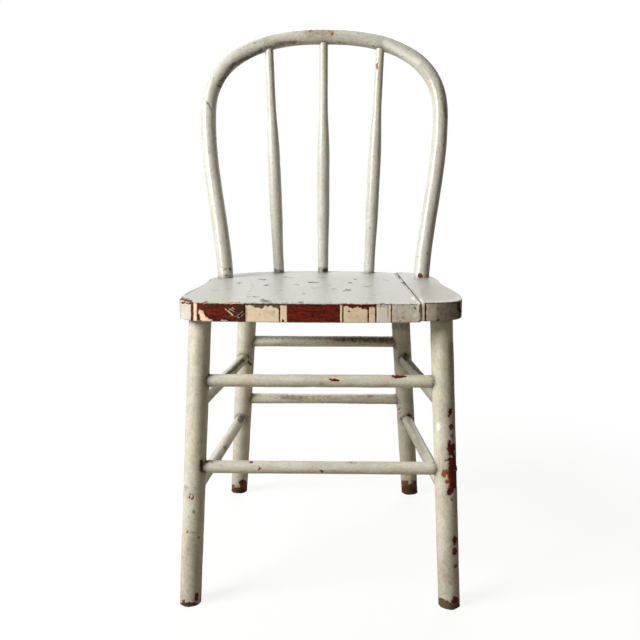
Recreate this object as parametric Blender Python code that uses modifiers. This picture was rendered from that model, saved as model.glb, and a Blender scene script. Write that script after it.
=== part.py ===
"""Old painted bow-back side chair, in metres, +Z up, front towards -Y.

The origin is on the floor, in the middle of the chair's footprint. Left and right are
as seen from the front, so left is -X. Four boards are glued edge to edge into the seat.
Four splayed legs are let into its underside, eight stretchers run between the legs, and
a bent bow with three spindles makes the back.
"""

import math

import bmesh
import bpy
from mathutils import Vector

# Clearance between pieces that touch
FIT_GAP = 0.0003

# Seat: its top above the floor, its thickness and the rounding of its edge
SEAT_TOP = 0.445
SEAT_THICKNESS = 0.0276
SEAT_EDGE_ROUND = 0.0025
SEAT_EDGE_STEPS = 2
SEAT_CURVE_STEPS = 6

# Seat outline: distances from the middle line, and from the origin to front and back
SEAT_FRONT = 0.1906
SEAT_BACK = 0.1821
FRONT_ARC_HALF = 0.1300
FRONT_ARC_SETBACK = 0.0045
FRONT_CORNER_START = 0.1790
FRONT_CORNER_START_SETBACK = 0.0095
FRONT_CORNER_HALF = 0.2015
FRONT_CORNER_SETBACK = 0.0240
SEAT_WIDEST_HALF = 0.2094
SEAT_WIDEST_SETBACK = 0.0510
SEAT_WAIST_HALF = 0.1964
SEAT_WAIST_Y = 0.0130
SEAT_REAR_HALF = 0.1915
SEAT_REAR_Y = 0.0916
REAR_CORNER_HALF = 0.1720
REAR_CORNER_SETBACK = 0.0460
REAR_ARC_HALF = 0.1250
REAR_ARC_SETBACK = 0.0190

# Seat boards: where their joints run, and how far the loose right board has moved
LEFT_JOINT_X = -0.1090
MIDDLE_JOINT_X = 0.0328
OPEN_JOINT_FRONT_X = 0.1450
OPEN_JOINT_BACK_X = 0.1310
GLUE_GAP = 0.0003
OPEN_JOINT_GAP = 0.0012
RIGHT_BOARD_LIFT = 0.0015
RIGHT_BOARD_SETBACK = 0.0030

# Legs: where their axes meet the seat's underside and the floor, and their thickness
FRONT_LEG_TOP_X = 0.1788
FRONT_LEG_TOP_Y = -0.1453
FRONT_FOOT_X = 0.1920
FRONT_FOOT_Y = -0.2212
BACK_LEG_TOP_X = 0.1351
BACK_LEG_TOP_Y = 0.1279
BACK_FOOT_X = 0.1691
BACK_FOOT_Y = 0.2212
LEG_TOP_RADIUS = 0.0172
LEG_MIDDLE_RADIUS = 0.0170
LEG_MIDDLE_HEIGHT = 0.230
LEG_FOOT_RADIUS = 0.0163
LEG_SOCKET_DEPTH = 0.0160
LEG_SIDES = 24

# Stretchers: heights where their axes meet the legs' axes, and their thickness
FRONT_UPPER_HEIGHT = 0.3247
FRONT_LOWER_HEIGHT = 0.1983
BACK_UPPER_HEIGHT = 0.3190
BACK_LOWER_HEIGHT = 0.2030
SIDE_UPPER_FRONT_HEIGHT = 0.2869
SIDE_UPPER_BACK_HEIGHT = 0.2877
SIDE_LOWER_FRONT_HEIGHT = 0.1615
SIDE_LOWER_BACK_HEIGHT = 0.1641
FRONT_ROD_RADIUS = 0.0095
BACK_ROD_RADIUS = 0.0099
BACK_LOWER_MIDDLE_RADIUS = 0.0091
SIDE_ROD_RADIUS = 0.0093
# How far a stretcher's end passes the leg's axis
ROD_REACH = 0.0010
ROD_SIDES = 20

# Bow: measured along its own leaning plane, from the seat's top
BOW_RADIUS = 0.0134
BOW_FOOT_INSET = 0.0208
BOW_FOOT_Y = 0.0916
BOW_LEAN = 0.2886
BOW_WIDEST_HALF = 0.2063
BOW_WIDEST_HEIGHT = 0.2930
BOW_HEIGHT = 0.4378
BOW_FOOT_FLARE = 0.6
BOW_CROWN_POWER = 2.4
BOW_SOCKET_DEPTH = 0.0180
BOW_SIDE_STEPS = 9
BOW_CROWN_STEPS = 14
BOW_RING_RESOLUTION = 3

# Spindles: feet set in from the seat's back edge, tops in the bow's underside
SPINDLE_FOOT_X = 0.0820
SPINDLE_TOP_X = 0.1003
SPINDLE_BACK_INSET = 0.0140
SPINDLE_SOCKET_DEPTH = 0.0150
SPINDLE_FOOT_RADIUS = 0.0095
SPINDLE_BELLY_RADIUS = 0.0113
SPINDLE_BELLY_START = 0.120
SPINDLE_BELLY_END = 0.205
SPINDLE_NECK_RADIUS = 0.0080
SPINDLE_NECK_START = 0.310
SPINDLE_FOOT_STRAIGHT = 0.035
SPINDLE_SIDES = 16

# Edge of the blocks that cut boards and feet, larger than the chair
BLOCK = 2.0

PAINT_SEAT = (0.66, 0.68, 0.63, 1.0)
PAINT_FRAME = (0.64, 0.63, 0.53, 1.0)
PAINT_BACK = (0.66, 0.66, 0.58, 1.0)


def clear_scene():
    for item in list(bpy.data.objects):
        bpy.data.objects.remove(item, do_unlink=True)


def new_collection(name):
    collection = bpy.data.collections.new(name)
    bpy.context.scene.collection.children.link(collection)
    return collection


clear_scene()
CHAIR = new_collection("peeling_paint_chair")
CUTTERS = new_collection("cutters")


def paint(name, colour, roughness):
    material = bpy.data.materials.new(name)
    material.use_nodes = True
    shader = material.node_tree.nodes["Principled BSDF"]
    shader.inputs["Base Color"].default_value = colour
    shader.inputs["Roughness"].default_value = roughness
    shader.inputs["Metallic"].default_value = 0.0
    return material


def add_part(name, mesh, colour, roughness):
    part = bpy.data.objects.new(name, mesh)
    mesh.materials.append(paint(name + "_paint", colour, roughness))
    CHAIR.objects.link(part)
    return part


def add_cutter(name, mesh):
    cutter = bpy.data.objects.new(name, mesh)
    cutter.hide_render = True
    cutter.display_type = "WIRE"
    CUTTERS.objects.link(cutter)
    return cutter


def cut(part, cutter):
    boolean = part.modifiers.new("cut_" + cutter.name, "BOOLEAN")
    boolean.operation = "DIFFERENCE"
    boolean.object = cutter


def smooth(mesh):
    mesh.shade_smooth()
    mesh.set_sharp_from_angle(angle=math.radians(40.0))


def point_along(part, start, end):
    """Puts the object's origin at start and turns its +Z towards end."""
    part.location = start
    part.rotation_mode = "QUATERNION"
    part.rotation_quaternion = (end - start).to_track_quat("Z", "Y")


def turned_profile(name, stations):
    """The outer side of a turned piece as (height, radius), given from the top down."""
    bm = bmesh.new()
    rows = [(stations[0][0], 0.0), *stations, (stations[-1][0], 0.0)]
    points = [bm.verts.new((radius, 0.0, height)) for height, radius in rows]
    for upper, lower in zip(points, points[1:]):
        bm.edges.new((upper, lower))
    mesh = bpy.data.meshes.new(name)
    bm.to_mesh(mesh)
    bm.free()
    return mesh


def turn(part, sides):
    screw = part.modifiers.new("turn", "SCREW")
    screw.steps = sides
    screw.render_steps = sides
    screw.use_merge_vertices = True
    screw.merge_threshold = 0.00001
    screw.use_smooth_shade = True


def rod_cutter(name, start, end, radius, sides):
    """A plain cylinder from start to end, wider than its rod by the fit gap."""
    length = (end - start).length
    bm = bmesh.new()
    bmesh.ops.create_cone(
        bm,
        cap_ends=True,
        segments=sides,
        radius1=radius + FIT_GAP,
        radius2=radius + FIT_GAP,
        depth=length,
    )
    bmesh.ops.translate(bm, verts=bm.verts, vec=(0.0, 0.0, length / 2.0))
    mesh = bpy.data.meshes.new(name)
    bm.to_mesh(mesh)
    bm.free()
    cutter = add_cutter(name, mesh)
    point_along(cutter, start, end)
    return cutter


def block_cutter(name, centre, turn_z):
    bm = bmesh.new()
    bmesh.ops.create_cube(bm, size=BLOCK)
    mesh = bpy.data.meshes.new(name)
    bm.to_mesh(mesh)
    bm.free()
    cutter = add_cutter(name, mesh)
    cutter.location = centre
    cutter.rotation_euler = (0.0, 0.0, turn_z)
    return cutter


def curve_to_mesh(curve_object):
    """The curve's solid as a mesh with welded caps; the curve itself is removed."""
    bpy.context.view_layer.update()
    evaluated = curve_object.evaluated_get(bpy.context.evaluated_depsgraph_get())
    mesh = bpy.data.meshes.new_from_object(evaluated)
    mesh.transform(curve_object.matrix_world)
    bm = bmesh.new()
    bm.from_mesh(mesh)
    bmesh.ops.remove_doubles(bm, verts=bm.verts, dist=0.00001)
    bmesh.ops.recalc_face_normals(bm, faces=bm.faces)
    bm.to_mesh(mesh)
    bm.free()
    bpy.data.objects.remove(curve_object, do_unlink=True)
    return mesh


# Seat outline and blank

def seat_half_outline():
    """Points of the right half of the seat's outline, from front centre to back centre."""
    front = -SEAT_FRONT
    return (
        (0.0, front),
        (FRONT_ARC_HALF, front + FRONT_ARC_SETBACK),
        (FRONT_CORNER_START, front + FRONT_CORNER_START_SETBACK),
        (FRONT_CORNER_HALF, front + FRONT_CORNER_SETBACK),
        (SEAT_WIDEST_HALF, front + SEAT_WIDEST_SETBACK),
        (SEAT_WAIST_HALF, SEAT_WAIST_Y),
        (SEAT_REAR_HALF, SEAT_REAR_Y),
        (REAR_CORNER_HALF, SEAT_BACK - REAR_CORNER_SETBACK),
        (REAR_ARC_HALF, SEAT_BACK - REAR_ARC_SETBACK),
        (0.0, SEAT_BACK),
    )


def seat_blank():
    """The whole seat as one mesh: a flat filled curve with a rounded edge."""
    right = seat_half_outline()
    left = [(-x, y) for x, y in reversed(right[1:-1])]
    outline = [*right, *left]
    curve = bpy.data.curves.new("seat_outline", "CURVE")
    curve.dimensions = "2D"
    curve.fill_mode = "BOTH"
    curve.resolution_u = SEAT_CURVE_STEPS
    curve.extrude = SEAT_THICKNESS / 2.0 - SEAT_EDGE_ROUND
    curve.bevel_depth = SEAT_EDGE_ROUND
    curve.bevel_resolution = SEAT_EDGE_STEPS
    curve.offset = -SEAT_EDGE_ROUND
    spline = curve.splines.new("BEZIER")
    spline.bezier_points.add(len(outline) - 1)
    for point, (x, y) in zip(spline.bezier_points, outline):
        point.co = (x, y, 0.0)
        point.handle_left_type = "AUTO"
        point.handle_right_type = "AUTO"
    spline.use_cyclic_u = True
    blank = bpy.data.objects.new("seat_outline", curve)
    blank.location.z = SEAT_TOP - SEAT_THICKNESS / 2.0
    CUTTERS.objects.link(blank)
    return curve_to_mesh(blank)


# Joints between the seat's boards

def joint_blocks(name, front_x, back_x, gap):
    """Two blocks that meet along a joint: one takes what is right of it, one what is left."""
    run = SEAT_FRONT + SEAT_BACK
    slant = math.atan2(front_x - back_x, run)
    middle = Vector(((front_x + back_x) / 2.0, (SEAT_BACK - SEAT_FRONT) / 2.0, SEAT_TOP))
    across = Vector((math.cos(slant), math.sin(slant), 0.0))
    reach = BLOCK / 2.0 - gap / 2.0
    right = block_cutter(name + "_right_of", middle + across * reach, slant)
    left = block_cutter(name + "_left_of", middle - across * reach, slant)
    return right, left


SEAT_PLAIN = seat_blank()
LEFT_JOINT = joint_blocks("left_joint", LEFT_JOINT_X, LEFT_JOINT_X, GLUE_GAP)
MIDDLE_JOINT = joint_blocks("middle_joint", MIDDLE_JOINT_X, MIDDLE_JOINT_X, GLUE_GAP)
OPEN_JOINT = joint_blocks(
    "open_joint", OPEN_JOINT_FRONT_X, OPEN_JOINT_BACK_X, OPEN_JOINT_GAP
)

SEAT_BOARDS = {
    "seat_board_left": (None, LEFT_JOINT),
    "seat_board_centre_left": (LEFT_JOINT, MIDDLE_JOINT),
    "seat_board_centre_right": (MIDDLE_JOINT, OPEN_JOINT),
    "seat_board_right": (OPEN_JOINT, None),
}

boards = []
for board_name, (joint_before, joint_after) in SEAT_BOARDS.items():
    board = add_part(board_name, SEAT_PLAIN.copy(), PAINT_SEAT, 0.25)
    if joint_before:
        cut(board, joint_before[1])
    if joint_after:
        cut(board, joint_after[0])
    boards.append(board)
boards[-1].location = (0.0, RIGHT_BOARD_SETBACK, RIGHT_BOARD_LIFT)


def cut_seat(cutter, near_x, reach):
    """Cuts the boards that a socket within reach of near_x can touch."""
    open_low = min(OPEN_JOINT_FRONT_X, OPEN_JOINT_BACK_X)
    open_high = max(OPEN_JOINT_FRONT_X, OPEN_JOINT_BACK_X)
    starts = (-BLOCK, LEFT_JOINT_X, MIDDLE_JOINT_X, open_low)
    ends = (LEFT_JOINT_X, MIDDLE_JOINT_X, open_high, BLOCK)
    for seat_board, start, end in zip(boards, starts, ends):
        if near_x + reach > start and near_x - reach < end:
            cut(seat_board, cutter)


# Legs

SEAT_UNDERSIDE = SEAT_TOP - SEAT_THICKNESS
FLOOR_BLOCK = block_cutter("floor_block", (0.0, 0.0, -BLOCK / 2.0), 0.0)


def leg_axis(row, side):
    """The foot and the top of a leg's axis, at the floor and at the seat's underside."""
    if row == "front":
        foot = Vector((side * FRONT_FOOT_X, FRONT_FOOT_Y, 0.0))
        top = Vector((side * FRONT_LEG_TOP_X, FRONT_LEG_TOP_Y, SEAT_UNDERSIDE))
    else:
        foot = Vector((side * BACK_FOOT_X, BACK_FOOT_Y, 0.0))
        top = Vector((side * BACK_LEG_TOP_X, BACK_LEG_TOP_Y, SEAT_UNDERSIDE))
    return foot, top


def on_leg(row, side, height):
    foot, top = leg_axis(row, side)
    return foot.lerp(top, height / SEAT_UNDERSIDE)


legs = {}
for leg_row in ("front", "back"):
    for leg_side, side_name in ((-1.0, "left"), (1.0, "right")):
        leg_foot, leg_top = leg_axis(leg_row, leg_side)
        length = (leg_top - leg_foot).length
        leg_name = "leg_" + leg_row + "_" + side_name
        leg_stations = (
            (length + LEG_SOCKET_DEPTH, LEG_TOP_RADIUS),
            (length, LEG_TOP_RADIUS),
            (LEG_MIDDLE_HEIGHT, LEG_MIDDLE_RADIUS),
            (0.0, LEG_FOOT_RADIUS),
            (-LEG_FOOT_RADIUS, LEG_FOOT_RADIUS),
        )
        leg = add_part(leg_name, turned_profile(leg_name, leg_stations), PAINT_FRAME, 0.32)
        turn(leg, LEG_SIDES)
        point_along(leg, leg_foot, leg_top)
        cut(leg, FLOOR_BLOCK)
        legs[leg_row, leg_side] = leg

        direction = (leg_top - leg_foot).normalized()
        socket = rod_cutter(
            leg_name + "_socket",
            leg_top - direction * SEAT_THICKNESS,
            leg_top + direction * (LEG_SOCKET_DEPTH + FIT_GAP),
            LEG_TOP_RADIUS,
            LEG_SIDES,
        )
        cut_seat(socket, leg_top.x, 2.0 * LEG_TOP_RADIUS)


# Stretchers

def add_stretcher(name, first_leg, second_leg, heights, radii):
    """A rod let into two legs; radii are at its ends and at its middle."""
    start = on_leg(*first_leg, heights[0])
    end = on_leg(*second_leg, heights[1])
    direction = (end - start).normalized()
    start -= direction * ROD_REACH
    end += direction * ROD_REACH
    length = (end - start).length
    end_radius, middle_radius = radii
    stations = (
        (length, end_radius),
        (length - LEG_TOP_RADIUS, end_radius),
        (length / 2.0, middle_radius),
        (LEG_TOP_RADIUS, end_radius),
        (0.0, end_radius),
    )
    rod = add_part(name, turned_profile(name, stations), PAINT_FRAME, 0.35)
    turn(rod, ROD_SIDES)
    point_along(rod, start, end)
    mortise = rod_cutter(
        name + "_mortise",
        start - direction * FIT_GAP,
        end + direction * FIT_GAP,
        end_radius,
        ROD_SIDES,
    )
    cut(legs[first_leg], mortise)
    cut(legs[second_leg], mortise)


for rod_row, upper, lower, rod_radius, lower_middle in (
    ("front", FRONT_UPPER_HEIGHT, FRONT_LOWER_HEIGHT, FRONT_ROD_RADIUS, FRONT_ROD_RADIUS),
    ("back", BACK_UPPER_HEIGHT, BACK_LOWER_HEIGHT, BACK_ROD_RADIUS, BACK_LOWER_MIDDLE_RADIUS),
):
    left_leg = (rod_row, -1.0)
    right_leg = (rod_row, 1.0)
    upper_name = "stretcher_" + rod_row + "_upper"
    lower_name = "stretcher_" + rod_row + "_lower"
    add_stretcher(upper_name, left_leg, right_leg, (upper, upper), (rod_radius, rod_radius))
    add_stretcher(lower_name, left_leg, right_leg, (lower, lower), (rod_radius, lower_middle))

for rod_side, rod_side_name in ((-1.0, "left"), (1.0, "right")):
    front_leg = ("front", rod_side)
    back_leg = ("back", rod_side)
    side_radii = (SIDE_ROD_RADIUS, SIDE_ROD_RADIUS)
    upper_heights = (SIDE_UPPER_FRONT_HEIGHT, SIDE_UPPER_BACK_HEIGHT)
    lower_heights = (SIDE_LOWER_FRONT_HEIGHT, SIDE_LOWER_BACK_HEIGHT)
    upper_name = "stretcher_" + rod_side_name + "_upper"
    lower_name = "stretcher_" + rod_side_name + "_lower"
    add_stretcher(upper_name, front_leg, back_leg, upper_heights, side_radii)
    add_stretcher(lower_name, front_leg, back_leg, lower_heights, side_radii)


# Bow

BOW_FOOT_X = SEAT_REAR_HALF - BOW_FOOT_INSET


def bow_point(x, height):
    """A point of the bow's leaning plane, given across it and up it from the seat."""
    back = BOW_FOOT_Y + height * math.sin(BOW_LEAN)
    return Vector((x, back, SEAT_TOP + height * math.cos(BOW_LEAN)))


def bow_side_x(height):
    """How far the bow stands from the middle line, below its widest place."""
    share = max(height, 0.0) / BOW_WIDEST_HEIGHT
    spread = BOW_WIDEST_HALF - BOW_FOOT_X
    flare = BOW_FOOT_FLARE
    curve = flare * share + (3.0 - 2.0 * flare) * share**2 + (flare - 2.0) * share**3
    below_seat = min(height, 0.0) * flare * spread / BOW_WIDEST_HEIGHT
    return BOW_FOOT_X + spread * curve + below_seat


def bow_half_line(depth):
    """Centre line of the right half, from its end in the seat to the crown."""
    points = [bow_point(bow_side_x(-depth), -depth)]
    for step in range(BOW_SIDE_STEPS + 1):
        height = BOW_WIDEST_HEIGHT * step / BOW_SIDE_STEPS
        points.append(bow_point(bow_side_x(height), height))
    rise = BOW_HEIGHT - BOW_WIDEST_HEIGHT
    power = 2.0 / BOW_CROWN_POWER
    for step in range(1, BOW_CROWN_STEPS + 1):
        angle = math.pi / 2.0 * step / BOW_CROWN_STEPS
        across = BOW_WIDEST_HALF * max(math.cos(angle), 0.0) ** power
        points.append(bow_point(across, BOW_WIDEST_HEIGHT + rise * math.sin(angle) ** power))
    points[-1].x = 0.0
    return points


def bow_rod_mesh(name, radius, depth):
    right = bow_half_line(depth)
    left = [Vector((-point.x, point.y, point.z)) for point in right[:-1]]
    line = [*left, *reversed(right)]
    curve = bpy.data.curves.new(name, "CURVE")
    curve.dimensions = "3D"
    curve.bevel_depth = radius
    curve.bevel_resolution = BOW_RING_RESOLUTION
    curve.use_fill_caps = True
    spline = curve.splines.new("POLY")
    spline.points.add(len(line) - 1)
    for point, place in zip(spline.points, line):
        point.co = (*place, 1.0)
    rod = bpy.data.objects.new(name, curve)
    CUTTERS.objects.link(rod)
    return curve_to_mesh(rod)


bow_mesh = bow_rod_mesh("back_bow", BOW_RADIUS, BOW_SOCKET_DEPTH)
smooth(bow_mesh)
bow = add_part("back_bow", bow_mesh, PAINT_BACK, 0.3)
BOW_CUTTER_MESH = bow_rod_mesh(
    "bow_sockets", BOW_RADIUS + FIT_GAP, BOW_SOCKET_DEPTH + FIT_GAP
)
bow_sockets = add_cutter("bow_sockets", BOW_CUTTER_MESH)
for foot_side in (-1.0, 1.0):
    cut_seat(bow_sockets, foot_side * BOW_FOOT_X, BOW_RADIUS)


# Spindles

def bow_line_at(x):
    """The point of the bow's crown that lies straight above a given place across."""
    share = min(abs(x) / BOW_WIDEST_HALF, 1.0)
    rise = (BOW_HEIGHT - BOW_WIDEST_HEIGHT) * (1.0 - share**BOW_CROWN_POWER) ** (
        1.0 / BOW_CROWN_POWER
    )
    return bow_point(x, BOW_WIDEST_HEIGHT + rise)


def seat_back_edge(x):
    """The seat's back edge at a given place across, as an arc through its named points."""
    return SEAT_BACK - REAR_ARC_SETBACK * (x / REAR_ARC_HALF) ** 2


def add_spindle(name, foot_x, top_x):
    foot = Vector((foot_x, seat_back_edge(foot_x) - SPINDLE_BACK_INSET, SEAT_TOP))
    top = bow_line_at(top_x)
    direction = (top - foot).normalized()
    length = (top - foot).length
    taper_height = (SPINDLE_NECK_START + SPINDLE_BELLY_END) / 2.0
    taper_radius = (SPINDLE_NECK_RADIUS + SPINDLE_BELLY_RADIUS) / 2.0
    stations = (
        (length, SPINDLE_NECK_RADIUS),
        (SPINDLE_NECK_START, SPINDLE_NECK_RADIUS),
        (taper_height, taper_radius),
        (SPINDLE_BELLY_END, SPINDLE_BELLY_RADIUS),
        (SPINDLE_BELLY_START, SPINDLE_BELLY_RADIUS),
        (SPINDLE_FOOT_STRAIGHT, SPINDLE_FOOT_RADIUS),
        (-SPINDLE_SOCKET_DEPTH, SPINDLE_FOOT_RADIUS),
    )
    spindle = add_part(name, turned_profile(name, stations), PAINT_BACK, 0.3)
    turn(spindle, SPINDLE_SIDES)
    point_along(spindle, foot, top)

    seat_socket = rod_cutter(
        name + "_seat_socket",
        foot - direction * (SPINDLE_SOCKET_DEPTH + FIT_GAP),
        foot + direction * SEAT_THICKNESS,
        SPINDLE_FOOT_RADIUS,
        SPINDLE_SIDES,
    )
    cut_seat(seat_socket, foot_x, 2.0 * SPINDLE_FOOT_RADIUS)

    bow_mortise = rod_cutter(
        name + "_bow_mortise",
        top - direction * 2.0 * BOW_RADIUS,
        top + direction * FIT_GAP,
        SPINDLE_NECK_RADIUS,
        SPINDLE_SIDES,
    )
    cut(bow, bow_mortise)


add_spindle("spindle_left", -SPINDLE_FOOT_X, -SPINDLE_TOP_X)
add_spindle("spindle_centre", 0.0, 0.0)
add_spindle("spindle_right", SPINDLE_FOOT_X, SPINDLE_TOP_X)

bpy.data.meshes.remove(SEAT_PLAIN)
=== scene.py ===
# %% [markdown]
# An old bow-back chair in peeling white paint.

# %% Load the frame
import math
import random

import bmesh
import bpy
import numpy as np
from mathutils import Matrix, Vector, noise


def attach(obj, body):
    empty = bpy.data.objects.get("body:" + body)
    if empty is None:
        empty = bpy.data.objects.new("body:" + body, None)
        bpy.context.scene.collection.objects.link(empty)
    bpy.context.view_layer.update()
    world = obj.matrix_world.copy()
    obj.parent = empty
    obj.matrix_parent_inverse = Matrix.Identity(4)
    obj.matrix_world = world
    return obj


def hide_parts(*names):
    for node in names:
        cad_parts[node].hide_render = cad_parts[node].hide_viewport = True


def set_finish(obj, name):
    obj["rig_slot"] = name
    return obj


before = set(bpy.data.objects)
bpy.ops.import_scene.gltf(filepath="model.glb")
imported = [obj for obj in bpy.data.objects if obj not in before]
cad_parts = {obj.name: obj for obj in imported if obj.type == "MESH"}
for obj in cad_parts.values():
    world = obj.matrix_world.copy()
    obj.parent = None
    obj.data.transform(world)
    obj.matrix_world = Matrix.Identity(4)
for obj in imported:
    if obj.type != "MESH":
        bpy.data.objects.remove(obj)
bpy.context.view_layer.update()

# %% [markdown]
# The camera stands in front of the chair at about chest height and looks slightly down, as
# the photographer did. Its place and lens were worked out from where the chair's edges lie.

# %% Camera
CAMERA_PLACE = Vector((0.0259, -1.4121, 0.648))
CAMERA_TILT_DOWN = 0.183
CAMERA_TURN_LEFT = 0.021
CAMERA_LENS_MM = 48.84
CAMERA_SENSOR_MM = 36.0

camera_data = bpy.data.cameras.new("camera")
camera_data.lens = CAMERA_LENS_MM
camera_data.sensor_width = CAMERA_SENSOR_MM
camera_data.sensor_fit = "HORIZONTAL"
camera = bpy.data.objects.new("camera", camera_data)
camera.location = CAMERA_PLACE
camera.rotation_euler = (math.pi / 2 - CAMERA_TILT_DOWN, 0.0, CAMERA_TURN_LEFT)
bpy.context.scene.collection.objects.link(camera)
bpy.context.scene.camera = camera
print("camera lens:", camera_data.lens, "mm")

# %% [markdown]
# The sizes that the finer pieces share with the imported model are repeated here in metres.
# Heights are above the floor, and left and right are as seen from the front.

# %% Sizes
SEAT_TOP = 0.445
SEAT_THICKNESS = 0.0276
SEAT_UNDERSIDE = SEAT_TOP - SEAT_THICKNESS
SEAT_FRONT_Y = -0.1906
SEAT_BACK_Y = 0.1821

LEG_TOPS = {"front": (0.1788, -0.1453), "back": (0.1351, 0.1279)}
LEG_FEET = {"front": (0.1920, -0.2212), "back": (0.1691, 0.2212)}
LEG_TOP_RADIUS = 0.0167
LEG_MIDDLE_RADIUS = 0.0164
LEG_MIDDLE_HEIGHT = 0.230
LEG_FOOT_RADIUS = 0.0158
LEG_SOCKET_DEPTH = 0.0160

BOW_FOOT_X = 0.1707
BOW_FOOT_Y = 0.0916
BOW_LEAN = 0.2886
BOW_RADIUS = 0.0134
BOW_WIDEST_HALF = 0.2063
BOW_WIDEST_HEIGHT = 0.2930
BOW_HEIGHT = 0.4378
BOW_FOOT_FLARE = 0.6
BOW_CROWN_POWER = 2.4
BOW_SOCKET_DEPTH = 0.0180

# %% [markdown]
# Legs, stretchers, spindles and even the bow's stick come off a lathe. On a lathe a profile
# turns round an axis, so here a line of vertices is spun a full turn. The cells are under
# two millimetres, small enough to carry chips in the paint as real dents. Each vertex also
# keeps its place on the straight stick, which the grain and the paint later follow.

# %% Turned stick
CELL = 0.0018
STICK_PLACE = "stick_place"


def turned_stick(length, radius_at, cell=CELL):
    """A closed turned stick along Z from 0 to length, as a bmesh."""
    stick = bmesh.new()
    steps = max(2, round(length / cell))
    heights = [length * step / steps for step in range(steps + 1)]
    profile = [stick.verts.new((0.0, 0.0, 0.0))]
    profile += [stick.verts.new((radius_at(z), 0.0, z)) for z in heights]
    profile.append(stick.verts.new((0.0, 0.0, length)))
    edges = [stick.edges.new(pair) for pair in zip(profile, profile[1:])]
    widest = max(radius_at(z) for z in heights)
    bmesh.ops.spin(
        stick,
        geom=profile + edges,
        axis=(0.0, 0.0, 1.0),
        cent=(0.0, 0.0, 0.0),
        angle=2.0 * math.pi,
        steps=round(2.0 * math.pi * widest / cell),
        use_merge=True,
    )
    bmesh.ops.remove_doubles(stick, verts=stick.verts, dist=1e-6)
    bmesh.ops.recalc_face_normals(stick, faces=stick.faces)
    place = stick.verts.layers.float_vector.new(STICK_PLACE)
    for vert in stick.verts:
        vert[place] = vert.co
    return stick


def blended(stations):
    """A radius function that eases from one (height, radius) station to the next."""

    def radius_at(height):
        if height <= stations[0][0]:
            return stations[0][1]
        for (low, start), (high, end) in zip(stations, stations[1:]):
            if height <= high:
                share = (height - low) / (high - low)
                ease = share * share * (3.0 - 2.0 * share)
                return start + (end - start) * ease
        return stations[-1][1]

    return radius_at


# %% [markdown]
# Nothing this old is truly round. Slow noise along the stick makes it a little thicker here
# and thinner there, as many coats of paint do, and each piece gets noise of its own.

# %% Hand-worn unevenness
WAVER_AMOUNT = 0.00035
WAVER_SCALE = 28.0


def waver(stick, seed, amount=WAVER_AMOUNT):
    """Moves each vertex in or out of the stick by slow noise."""
    for vert in stick.verts:
        place = vert.co * WAVER_SCALE
        swell = noise.noise(Vector((place.x * 2.0, place.y * 2.0, place.z + 17.0 * seed)))
        flat = Vector((vert.co.x, vert.co.y, 0.0))
        if flat.length > 1e-5:
            vert.co += flat.normalized() * swell * amount


def cut_off(shape, place, way):
    """Cuts away what lies behind a plane, closes the cut and returns the cut's rim."""
    cut = bmesh.ops.bisect_plane(
        shape,
        geom=shape.verts[:] + shape.edges[:] + shape.faces[:],
        plane_co=place,
        plane_no=way,
        clear_inner=True,
    )
    rim = [item for item in cut["geom_cut"] if isinstance(item, bmesh.types.BMEdge)]
    bmesh.ops.edgeloop_fill(shape, edges=rim)
    return rim


def round_off(shape, edges, offset, segments):
    bmesh.ops.bevel(
        shape,
        geom=edges,
        offset=offset,
        offset_type="OFFSET",
        affect="EDGES",
        segments=segments,
        profile=0.5,
        material=-1,
    )


def lay_along(stick, start, end):
    """Turns and moves a stick so that its foot is at start and it points to end."""
    turn = (end - start).to_track_quat("Z", "Y").to_matrix().to_4x4()
    bmesh.ops.transform(stick, matrix=Matrix.Translation(start) @ turn, verts=stick.verts)


SHARP_ANGLE = math.radians(50.0)
PIECES = {}
STICKS = {}


def finish_piece(name, shape, slot):
    """Makes the bmesh a smooth-shaded object that rides on the chair and stands for its node."""
    mesh = bpy.data.meshes.new(name)
    shape.to_mesh(mesh)
    shape.free()
    mesh.shade_smooth()
    mesh.set_sharp_from_angle(angle=SHARP_ANGLE)
    piece = bpy.data.objects.new(name + "_painted", mesh)
    bpy.context.scene.collection.objects.link(piece)
    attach(piece, "root")
    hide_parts(name)
    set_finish(piece, slot)
    PIECES[name] = piece
    print(name, "has", len(mesh.polygons), "faces")


# %% [markdown]
# The four legs are plain tapered sticks that splay out from the seat. A leg is made a
# little too long, then sawn level with the floor as a chair maker would, and the sharp rim
# that the saw leaves is worn off with a bevel.

# %% Legs
FOOT_SPARE = 0.010
FOOT_WEAR = 0.0012
SIDES = {"left": -1.0, "right": 1.0}


def leg_line(row, side):
    """The foot and top of a leg's centre line."""
    foot_x, foot_y = LEG_FEET[row]
    top_x, top_y = LEG_TOPS[row]
    sign = SIDES[side]
    return Vector((sign * foot_x, foot_y, 0.0)), Vector((sign * top_x, top_y, SEAT_UNDERSIDE))


def on_leg(row, side, height):
    foot, top = leg_line(row, side)
    return foot.lerp(top, height / SEAT_UNDERSIDE)


def make_leg(row, side, seed):
    foot, top = leg_line(row, side)
    way = (top - foot).normalized()
    start = foot - way * FOOT_SPARE
    length = (top - start).length + LEG_SOCKET_DEPTH
    radius_at = blended(
        (
            (FOOT_SPARE, LEG_FOOT_RADIUS),
            (LEG_MIDDLE_HEIGHT, LEG_MIDDLE_RADIUS),
            (length, LEG_TOP_RADIUS),
        )
    )
    stick = turned_stick(length, radius_at)
    waver(stick, seed)
    lay_along(stick, start, top)
    rim = cut_off(stick, (0.0, 0.0, 0.0), (0.0, 0.0, 1.0))
    round_off(stick, rim, FOOT_WEAR, 2)
    bmesh.ops.recalc_face_normals(stick, faces=stick.faces)
    name = "leg_" + row + "_" + side
    STICKS[name] = (foot, top, LEG_MIDDLE_RADIUS)
    finish_piece(name, stick, "frame_paint")


for seed, (row, side) in enumerate(
    (("front", "left"), ("front", "right"), ("back", "left"), ("back", "right"))
):
    make_leg(row, side, seed)

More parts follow.
